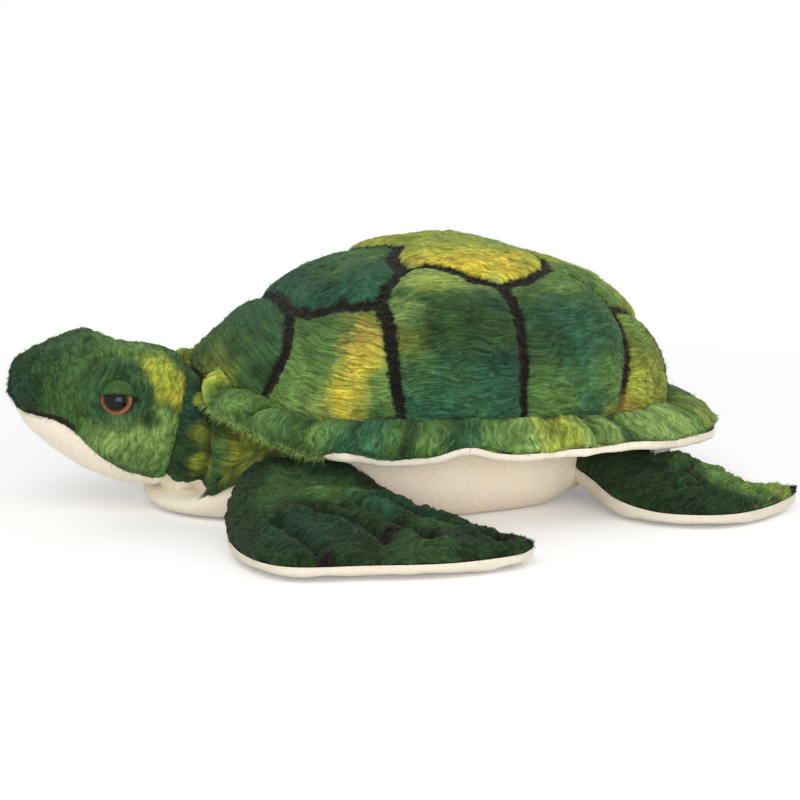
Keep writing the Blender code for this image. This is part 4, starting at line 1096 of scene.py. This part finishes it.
def neckForm(u, turn):
    points = sectionPoints(neckSections, u, turn)
    drift = u + cloud(points + np.array([0.4, 0.0, 0.0]), 0.022, 151, 2) * 0.07
    lift = sum(height * bell(drift, place, width) for place, width, height in neck["folds"])
    lift = lift * (0.55 + 0.45 * np.abs(np.cos(turn)))
    lift = lift - 0.0014 * (1 - smooth(u, 0.0, 0.12)) + cloud(points, 0.014, 153, 2) * 0.0010
    return raised(points, -sectionNormals(neckSections, u, turn, 0.004), lift), drift


def makeNeck():
    u, v = unitGrid(neck["rows"], neck["columns"])
    turn = np.radians(mixed(throatAngle, 180.0 - throatAngle, v))
    points, drift = neckForm(u, turn)
    wobble = cloud(points, 0.010, 155, 3) * 0.35
    colour = painted(plain(points, "green"), folded(points), neckSpots, wobble)
    # Painted shade: darker in the two sunk folds and towards the neck's end at the head
    shade = 1.0 - 0.65 * bell(drift, 0.42, 0.045) - 0.35 * bell(drift, 0.78, 0.05)
    shade = shade * (0.5 + 0.5 * smooth(u, 0.0, 0.08))
    flow = cloud(points, 0.014, 157, 2)
    pile = stacked(u * 0.036 / 0.0050 + flow, turn * 0.045 / 0.0015 + flow * 2.0, 9.1)
    points, colour = brushed(points, -gridNormals(points), colour * shade[..., None], pile,
                             neck["pile"], 159)
    cover = makePiece("neckPlush", points, colour, pile, skinPlush, flipped=True)
    u, v = unitGrid(neck["rows"], neck["columns"] // 2)
    turn = np.radians(mixed(throatAngle + 1.0, -181.0 - throatAngle, v))
    tuck = cloth["creamSink"] + neck["throatTuck"] * (1 - smooth(u, 0.0, 0.3))
    throat = makeCream("throatPlush", neckForm(u, turn)[0], 161, False, tuck)
    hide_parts("neck_cover", "neck_filling")
    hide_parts("throat_panel")
    for piece in (cover, throat):
        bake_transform(piece)


makeHead()
makeNeck()
print("head made")


frontFlipper = {
    "sections": [
        (-.1000, .0600, .0270, -.0520, .0660, .0270, .0390, .0140),
        (-.1200, .0900, .0210, -.0470, .0890, .0220, .0370, .0060),
        (-.1310, .1240, .0120, -.0370, .1010, .0160, .0290, .0015),
        (-.1310, .1600, .0085, -.0270, .1130, .0120, .0230, .0008),
        (-.1160, .1900, .0080, -.0170, .1290, .0100, .0195, .0007),
        (-.0760, .2000, .0080, -.0080, .1470, .0090, .0175, .0007),
        (-.0380, .2070, .0080, .0020, .1640, .0080, .0155, .0007),
        (-.0020, .2015, .0080, .0105, .1780, .0080, .0140, .0009)],
    "tip": (.0120, .1900, .0080), "seed": 200,
    "start": (-.078, .070, .022), "end": (-.082, .100, .020),
    # Stitched grooves between the fingers: points in the plane seen from above
    "grooves": [
        [(-.110, .150), (-.106, .165), (-.103, .182), (-.099, .200)],
        [(-.092, .140), (-.080, .152), (-.070, .168), (-.063, .186)],
        [(-.066, .128), (-.058, .142), (-.050, .162), (-.043, .190)],
        [(-.046, .128), (-.034, .145), (-.020, .166), (-.006, .192)],
        [(-.095, .138), (-.080, .128), (-.062, .126), (-.046, .130)]],
    "claws": [(-.0980, .1985, .0062), (-.0640, .1800, .0050), (-.0570, .1780, .0050),
              (-.0420, .1880, .0070), (-.0030, .1900, .0070)],
    "spots": [
        (-.088, .110, .024, "green", .6), (-.072, .118, .018, "leaf", .5),
        (-.105, .125, .018, "green", .4), (-.100, .165, .022, "deepTeal", .6),
        (-.055, .135, .018, "teal", .6), (-.030, .140, .016, "deepTeal", .7),
        (-.030, .165, .014, "green", .5), (-.050, .200, .018, "green", .4),
        (-.070, .095, .016, "deepTeal", .5)],
}
rearFlipper = {
    "sections": [
        (.0800, .0500, .0250, .1140, .0260, .0250, .0360, .0140),
        (.0850, .0880, .0190, .1330, .0500, .0220, .0335, .0060),
        (.0900, .1130, .0120, .1510, .0760, .0170, .0290, .0015),
        (.1030, .1340, .0085, .1640, .0960, .0120, .0235, .0008),
        (.1230, .1475, .0080, .1740, .1090, .0095, .0185, .0007),
        (.1470, .1500, .0080, .1850, .1130, .0085, .0155, .0007),
        (.1740, .1370, .0080, .1940, .1110, .0080, .0140, .0009)],
    "tip": (.2000, .1150, .0080), "seed": 300,
    "start": (.100, .042, .024), "end": (.112, .070, .022),
    "grooves": [
        [(.128, .118), (.133, .108), (.142, .100), (.154, .096)],
        [(.133, .128), (.145, .122), (.160, .119), (.176, .118)]],
    "claws": [(.1945, .1160, .0055), (.166, .092, .0035)],
    "spots": [
        (.105, .100, .022, "deepGreen", .8), (.130, .100, .016, "teal", .5),
        (.150, .090, .014, "green", .8), (.163, .121, .021, "leaf", 1.0),
        (.150, .112, .010, "lightLeaf", .5), (.182, .121, .013, "lime", .7),
        (.135, .104, .016, "green", .9), (.165, .104, .016, "leaf", .8),
        (.182, .118, .012, "lightLeaf", .6), (.140, .135, .014, "deepGreen", .6),
        (.150, .112, .008, "leaf", .5)],
}


flipper = {
    "rows": 260, "columns": 230, "soleColumns": 120, "tipHalf": .0050, "ground": 0.72,
    "sole": 0.84, "soleDrop": 0.0006, "pile": 0.0012, "hairs": 1700, "hairLength": 0.0030,
    "grooveDepth": 0.0042, "grooveWidth": 0.0032, "ridgeRise": 0.0022, "ridgeOff": 0.0080,
    "ridgeWidth": 0.0042,
}


def flipperForm(made, u, v, up):
    # u runs from root to tip, v from the front edge to the rear edge, up is 1 above, -1 below
    tip = made["tip"]
    ends = (tip[2] + flipper["tipHalf"], tip[2] - flipper["tipHalf"])
    values = through(made["sections"] + [tip + tip + ends], u)
    lead, trail = values[..., :3], values[..., 3:6]
    centre, half = (lead + trail) / 2, (trail - lead) / 2
    turn = math.pi * v
    points = centre - half * np.cos(turn)[..., None]
    depth = values[..., 6] - centre[..., 2] if up > 0 else centre[..., 2] - values[..., 7]
    swell = np.maximum(np.sin(turn), 0.0) ** (0.62 if up > 0 else 0.42)
    points[..., 2] += up * depth * swell
    return points, swell


def lineDistance(places, nodes):
    track = through(np.array(nodes), np.linspace(0, 1, 40))
    return np.linalg.norm(places[..., None, :] - track, axis=-1).min(axis=-1)


def makeFlipper(name, made, side):
    seed = made["seed"] + (0 if side < 0 else 17)
    u, v = unitGrid(flipper["rows"], flipper["columns"])
    points, swell = flipperForm(made, u, v, 1)
    flat = points[..., :2]
    noisyPlace = points + np.array([0.0, 0.0, side * 0.3])
    lift = lumpy(noisyPlace, (0.024, 0.0028, seed, 2), (0.009, 0.0018, seed + 2, 2))
    # Painted shade in the stitched grooves between the fingers
    shade = np.ones(u.shape)
    for nodes in made["grooves"]:
        away = lineDistance(flat, nodes) + cloud(noisyPlace, 0.008, seed + 4) * 0.0008
        groove = bell(away, 0.0, flipper["grooveWidth"])
        ridge = bell(away, flipper["ridgeOff"], flipper["ridgeWidth"])
        lift = lift - flipper["grooveDepth"] * groove + flipper["ridgeRise"] * ridge
        shade = shade * (1.0 - 0.45 * groove)
    points[..., 2] += lift * (swell * smooth(u, 0.0, 0.15))
    wobble = cloud(noisyPlace, 0.011, seed + 6, 3) * 0.45
    colour = painted(plain(points, "deepGreen", flipper["ground"]), flat, made["spots"], wobble)
    colour = colour * shade[..., None]
    for x, y, radius in made["claws"]:
        away = np.hypot(flat[..., 0] - x, flat[..., 1] - y) / radius + wobble * 0.8
        colour = mixed(colour, dye["seam"] * 0.7, (1 - smooth(away, 0.6, 1.15))[..., None])
    flow = cloud(noisyPlace, 0.010, seed + 8, 2)
    pile = stacked(v * 0.06 / 0.0030 + flow * 2.4, u * 0.16 / 0.0013 + flow * 4.4, seed * 0.37)
    points[..., 1] *= side
    normals = gridNormals(points) * -side
    points, colour = brushed(points, normals, colour, pile, flipper["pile"], seed + 10)
    upper = makePiece(name + "_topPlush", points, colour, pile, skinPlush, flipped=side > 0)
    fuzz = addFuzz(name + "_fuzz", points, normals, colour, flipper["hairs"],
                   flipper["hairLength"], seed + 20)
    count = flipper["soleColumns"]
    u, v = u[:, :count], unitGrid(flipper["rows"], count)[1]
    points, swell = flipperForm(made, u, v, -1)
    points[..., 2] -= flipper["soleDrop"]
    points[..., 2] += cloud(points, 0.016, seed + 12, 2) * 0.0012 * swell
    points[..., 1] *= side
    lower = makeCream(name + "_solePlush", points, seed + 14, side < 0, level=flipper["sole"])
    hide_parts(name + "_upper", name + "_filling")
    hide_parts(name + "_lower")
    for piece in (upper, lower, fuzz):
        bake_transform(piece)


for sideName, side in (("left", -1), ("right", 1)):
    makeFlipper("front_flipper_" + sideName, frontFlipper, side)
    makeFlipper("rear_flipper_" + sideName, rearFlipper, side)
print("flippers made")


eye = {
    "place": (-.1735, .0408, .0684), "turn": 16.0, "tilt": 10.0, "radius": .0090,
    "sphere": .0102, "edge": .0012, "edgeRound": .0004, "post": .0025, "shoulderZ": -.006,
    "postLength": .014, "around": 96, "domeRows": 60,
    "pupil": .0064, "iris": .0086, "lid": .0013, "lidGap": .0002, "lidRaise": 17.0,
    "lidColumns": 90,
    "plastic": {"mottleScale": 900.0, "mottle": 0.06, "rough": 0.06, "coat": 0.3, "shine": 0.10},
    "lidPlastic": {"mottleScale": 700.0, "mottle": 0.10, "rough": 0.28, "coat": 0.16,
                   "shine": 0.12},
}


def eyeAxes(side):
    # The eye looks outwards along the last of these, and the first points down
    turn = side * math.radians(90 + eye["turn"])
    tilt = math.radians(90 - eye["tilt"])
    turned = np.array([[math.cos(turn), -math.sin(turn), 0], [math.sin(turn), math.cos(turn), 0],
                       [0, 0, 1.0]])
    tilted = np.array([[math.cos(tilt), 0, math.sin(tilt)], [0, 1.0, 0],
                       [-math.sin(tilt), 0, math.cos(tilt)]])
    return turned @ tilted


def placedEye(points, side):
    centre = np.array([eye["place"][0], side * eye["place"][1], eye["place"][2]])
    return points @ eyeAxes(side).T + centre


def glossMaterial(name, look):
    # Moulded plastic: colour on the points, faint mottling under a clear gloss
    material, tree, shader = newMaterial(name)
    mottle = noisy(tree, look["mottleScale"])
    level = levelled(tree, mottle, 1.0 - look["mottle"], 1.0 + look["mottle"])
    feed(shader, {
        "Base Color": tinted(tree, level),
        "Roughness": levelled(tree, mottle, look["rough"] * 0.8, look["rough"] * 1.2),
        "Normal": bumped(tree, mottle, 0.06, 0.0002), "Specular IOR Level": look["shine"],
        "Coat Weight": look["coat"], "Coat Roughness": 0.03})
    return material


def milkyMaterial():
    # The washers inside the head: pale moulded plastic
    material, tree, shader = newMaterial("washerPlastic")
    cloudy = noisy(tree, 260.0)
    feed(shader, {
        "Base Color": newNode(tree, "Mix", {
            "Factor": cloudy, "A": (*dye["washer"], 1.0), "B": (*dye["paleWasher"], 1.0)},
            "Result", data_type="RGBA"),
        "Roughness": levelled(tree, cloudy, 0.38, 0.55)})
    return material


def turnedGrid(radii, heights, around):
    angle = np.arange(around) / around * 2 * math.pi
    radii = np.asarray(radii)[:, None]
    return stacked(radii * np.cos(angle), radii * np.sin(angle), np.asarray(heights)[:, None])


def eyeDepth():
    # How far the dome's centre lies behind the eye's rim
    return eye["sphere"] * math.cos(math.asin(eye["radius"] / eye["sphere"]))


def makeBall(name, side, material):
    # A domed eye with its post: a black pupil, an amber ring with fine rays, and a dark edge
    depth = eyeDepth()
    turns = np.linspace(0.0, math.asin(eye["radius"] / eye["sphere"]), eye["domeRows"])
    post, foot = eye["post"], -eye["postLength"]
    radii = [*(eye["sphere"] * np.sin(turns) + 1e-6), eye["radius"],
             eye["radius"] - eye["edgeRound"], post, post, post, 1e-6]
    heights = [*(eye["sphere"] * np.cos(turns) - depth), eye["edgeRound"] - eye["edge"],
               -eye["edge"], -eye["edge"], eye["shoulderZ"], foot, foot]
    points = turnedGrid(radii, heights, eye["around"])
    away = np.hypot(points[..., 0], points[..., 1])
    angle = np.arctan2(points[..., 1], points[..., 0])
    rays = cloud(stacked(np.cos(angle) * 6, np.sin(angle) * 6, away * 300), 1.0, 401, 2)
    amber = dyed(plain(points, "amber"), "paleAmber", smooth(away, eye["pupil"], eye["iris"]))
    amber = amber * (1.0 + 0.22 * rays[..., None])
    inIris = smooth(away, eye["pupil"] - .0003, eye["pupil"] + .0003)
    colour = mixed(dye["pupil"], amber, inIris[..., None])
    colour = dyed(colour, "eyeRim", smooth(away, eye["iris"] - .0004, eye["iris"] + .0003))
    colour[len(turns):] = dye["eyeBack"]
    return makePiece("eyeball_" + name, placedEye(points, side), colour, points, material,
                     wrap=True)


def makeLid(name, side, material):
    # A thin green hood over the top of the eye
    depth, thick = eyeDepth(), eye["lid"]
    radius = eye["sphere"] + eye["lidGap"] + thick
    low = math.radians(eye["lidRaise"])
    widest = math.acos(min(depth / radius / math.cos(low), 1.0)) - 0.02
    sway = np.linspace(-widest, widest, eye["lidColumns"])
    back = np.arccos(np.clip(depth / radius / np.cos(sway), -1.0, 1.0))
    # Rows run up the outside, round the lip and back inside
    share = np.concatenate([np.linspace(1, 0, 26), np.zeros(7), np.linspace(0, 1, 20)])
    lip = np.concatenate([np.zeros(26), np.linspace(0, 1, 9)[1:-1], np.ones(20)])[:, None]
    rise = radius - thick * (1 - np.cos(lip * math.pi)) / 2
    bulge = thick * 0.5 * np.sin(lip * math.pi)
    turn = mixed(low, np.maximum(back, low)[None, :], share[:, None])
    points = stacked(-rise * np.cos(sway) * np.sin(turn) + bulge,
                     rise * np.sin(sway), rise * np.cos(sway) * np.cos(turn) - depth)
    # Painted shade: darker round the lip of the lid, where it overhangs the eye
    colour = plain(points, "lid") * (1.0 - 0.35 * (1 - smooth(share, 0.0, 0.12)))[:, None, None]
    return makePiece("lid_" + name, placedEye(points, side), colour, points, material,
                     flipped=True)


def makeEye(name, side, eyePlastic, lidPlastic, washerPlastic):
    ball = makeBall(name, side, eyePlastic)
    lid = makeLid(name, side, lidPlastic)
    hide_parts("eye_" + name)
    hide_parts("eyelid_" + name)
    for piece in (ball, lid):
        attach(piece, "head")
    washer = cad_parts["eye_washer_" + name].data
    washer.materials.clear()
    washer.materials.append(washerPlastic)


def makeEyes():
    plastics = (glossMaterial("eyePlastic", eye["plastic"]),
                glossMaterial("lidPlastic", eye["lidPlastic"]), milkyMaterial())
    makeEye("left", -1, *plastics)
    makeEye("right", 1, *plastics)


makeEyes()
print("eyes made")


label = {
    "turn": 317.0, "width": 0.022, "drop": 0.0105, "fold": 0.0012, "reach": 0.30,
    "hang": 0.0014, "rows": 22, "columns": 48, "warp": 0.0005, "weft": 0.0004,
}


def satinMaterial():
    # Woven ribbon: fine warp and weft threads with a soft shine
    material, tree, shader = newMaterial("labelSatin")
    place = kept(tree, "pile", "Vector")
    warp, weft = (newNode(tree, "TexWave", {"Vector": place, "Scale": 0.5, "Distortion": 0.4},
                          "Fac", bands_direction=way) for way in "XY")
    threads = newNode(tree, "Math", {0: warp, 1: weft}, operation="MULTIPLY")
    feed(shader, {
        "Base Color": tinted(tree, levelled(tree, threads, 0.90, 1.0)),
        "Normal": bumped(tree, threads, 0.3, 0.0001),
        "Roughness": levelled(tree, threads, 0.34, 0.50), "Sheen Weight": 0.2})
    return material


def makeLabel():
    # A blank ribbon folded in two, its ends sewn in under the brim
    angles = np.radians([label["turn"] - 2, label["turn"], label["turn"] + 2])
    edge = brimEdge(angles)
    along = unit((edge[2] - edge[0]) * [1.0, 1.0, 0.0])
    across = np.array([along[1], -along[0], 0.0])
    top = mixed(edge[1], liningEnd(angles)[1], label["reach"]) - [0.0, 0.0, label["hang"]]
    bend = np.linspace(0.0, math.pi, 25)[1:-1]
    fold = label["fold"]
    drop = np.linspace(0.0, fold - label["drop"], label["rows"])
    outline = np.concatenate([
        stacked(-fold, drop, 0.0), stacked(-fold * np.cos(bend), drop[-1] - fold * np.sin(bend), 0),
        stacked(fold, drop[::-1], 0.0)])
    length = np.concatenate([[0.0], np.cumsum(np.linalg.norm(np.diff(outline, axis=0), axis=1))])
    width = np.linspace(-0.5, 0.5, label["columns"])
    points = (top + along * (width * label["width"])[None, :, None]
              + across * outline[:, None, :1] + np.array([0.0, 0.0, 1.0]) * outline[:, None, 1:2])
    curl = 0.0010 * np.sin(width * 5.0 + 0.6) + 0.0006 * np.cos(width * 11.0)
    hang = np.clip(-(points[..., 2] - top[2]) / label["drop"], 0.0, 1.0)
    points = points + across * (curl * hang)[..., None]
    weave = stacked(width * label["width"] / label["warp"], length[:, None] / label["weft"], 0.0)
    piece = makePiece("labelRibbon", points, dye["ribbon"], weave, satinMaterial())
    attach(piece, "trunk")
    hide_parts("label")


makeLabel()
print("label made")


studio = {
    "azimuth": -17.0, "elevation": 9.5, "distance": 1.117, "aimZ": 0.053, "lens": 85.0,
    "sensor": 36.0, "nearest": 0.05, "ambient": 0.72, "lampAim": (0.0, 0.0, 0.05),
    "lamps": (("keyLamp", (-0.55, -0.9, 1.15), 0.9, 4.0), ("fillLamp", (1.1, -0.7, 0.7), 1.0, 1.6),
              ("lowLamp", (-0.2, -1.3, 0.14), 0.9, 8.8)),
    "floorHalf": 6, "floorGap": 0.0004, "floorGrey": 0.93, "floorGlow": 0.18,
    "fadeFrom": 0.30, "fadeTo": 0.75,
}


def makeCamera():
    a = math.radians(studio["azimuth"])
    e = math.radians(studio["elevation"])
    back = (math.sin(a) * math.cos(e), -math.cos(a) * math.cos(e), math.sin(e))
    data = bpy.data.cameras.new("studioCamera")
    data.lens = studio["lens"]
    data.sensor_width = studio["sensor"]
    data.clip_start = studio["nearest"]
    camera = placeObject("studioCamera", data)
    camera.location = [part * studio["distance"] for part in back]
    camera.location.z += studio["aimZ"]
    camera.rotation_euler = (math.pi / 2 - e, 0.0, a)
    bpy.context.scene.camera = camera


def makeLamp(name, place, size, power):
    data = bpy.data.lights.new(name, "AREA")
    data.shape = "DISK"
    data.size = size
    data.energy = power
    lamp = placeObject(name, data)
    lamp.location = place
    away = np.array(place) - np.array(studio["lampAim"])
    lamp.rotation_euler = (math.atan2(math.hypot(away[0], away[1]), away[2]), 0.0,
                           math.atan2(away[1], away[0]) + math.pi / 2)


def whiteShare(tree):
    # 1 where the camera sees it, straight, in a reflection or through something clear
    seen = [newNode(tree, "LightPath", output="Is " + kind + " Ray")
            for kind in ("Camera", "Glossy", "Transmission")]
    first = newNode(tree, "Math", {0: seen[0], 1: seen[1]}, operation="MAXIMUM")
    return newNode(tree, "Math", {0: first, 1: seen[2]}, operation="MAXIMUM")


def makeFloor():
    # A pale floor that takes the shadow and fades to white round the toy
    half = studio["floorHalf"]
    mesh = bpy.data.meshes.new("studioFloor")
    mesh.from_pydata([(-half, -half, 0), (half, -half, 0), (half, half, 0), (-half, half, 0)], [],
                     [(0, 1, 2, 3)])
    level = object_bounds()[0][2] - studio["floorGap"]
    floor = placeObject("studioFloor", mesh)
    floor.location.z = level
    material, tree, shader = newMaterial("studioFloor")
    feed(shader, {"Base Color": (*[studio["floorGrey"]] * 3, 1.0), "Roughness": 1.0,
                  "Specular IOR Level": 0.0})
    grey = shader.outputs[0]
    glow = newNode(tree, "Emission", {"Strength": studio["floorGlow"]})
    lit = newNode(tree, "AddShader", {0: grey, 1: glow})
    away = newNode(tree, "VectorMath", {0: newNode(tree, "TexCoord", output="Object")}, "Value",
                   operation="LENGTH")
    fade = levelled(tree, away, 0.0, 1.0, studio["fadeFrom"], studio["fadeTo"],
                    interpolation_type="SMOOTHSTEP")
    faded = newNode(tree, "MixShader", {0: fade, 1: lit, 2: newNode(tree, "Emission")})
    chosen = newNode(tree, "MixShader", {0: whiteShare(tree), 1: grey, 2: faded})
    feed(tree.nodes["Material Output"], {"Surface": chosen})
    mesh.materials.append(material)


def makeStudio():
    makeCamera()
    for lamp in studio["lamps"]:
        makeLamp(*lamp)
    world = bpy.data.worlds.new("studioAir")
    bpy.context.scene.world = world
    world.use_nodes = True
    tree = world.node_tree
    feed(tree.nodes["Background"], {
        "Color": (1.0, 1.0, 1.0, 1.0),
        "Strength": levelled(tree, whiteShare(tree), studio["ambient"], 1.0)})
    makeFloor()
    bpy.context.scene.view_settings.view_transform = "Standard"


makeStudio()
print("studio made")
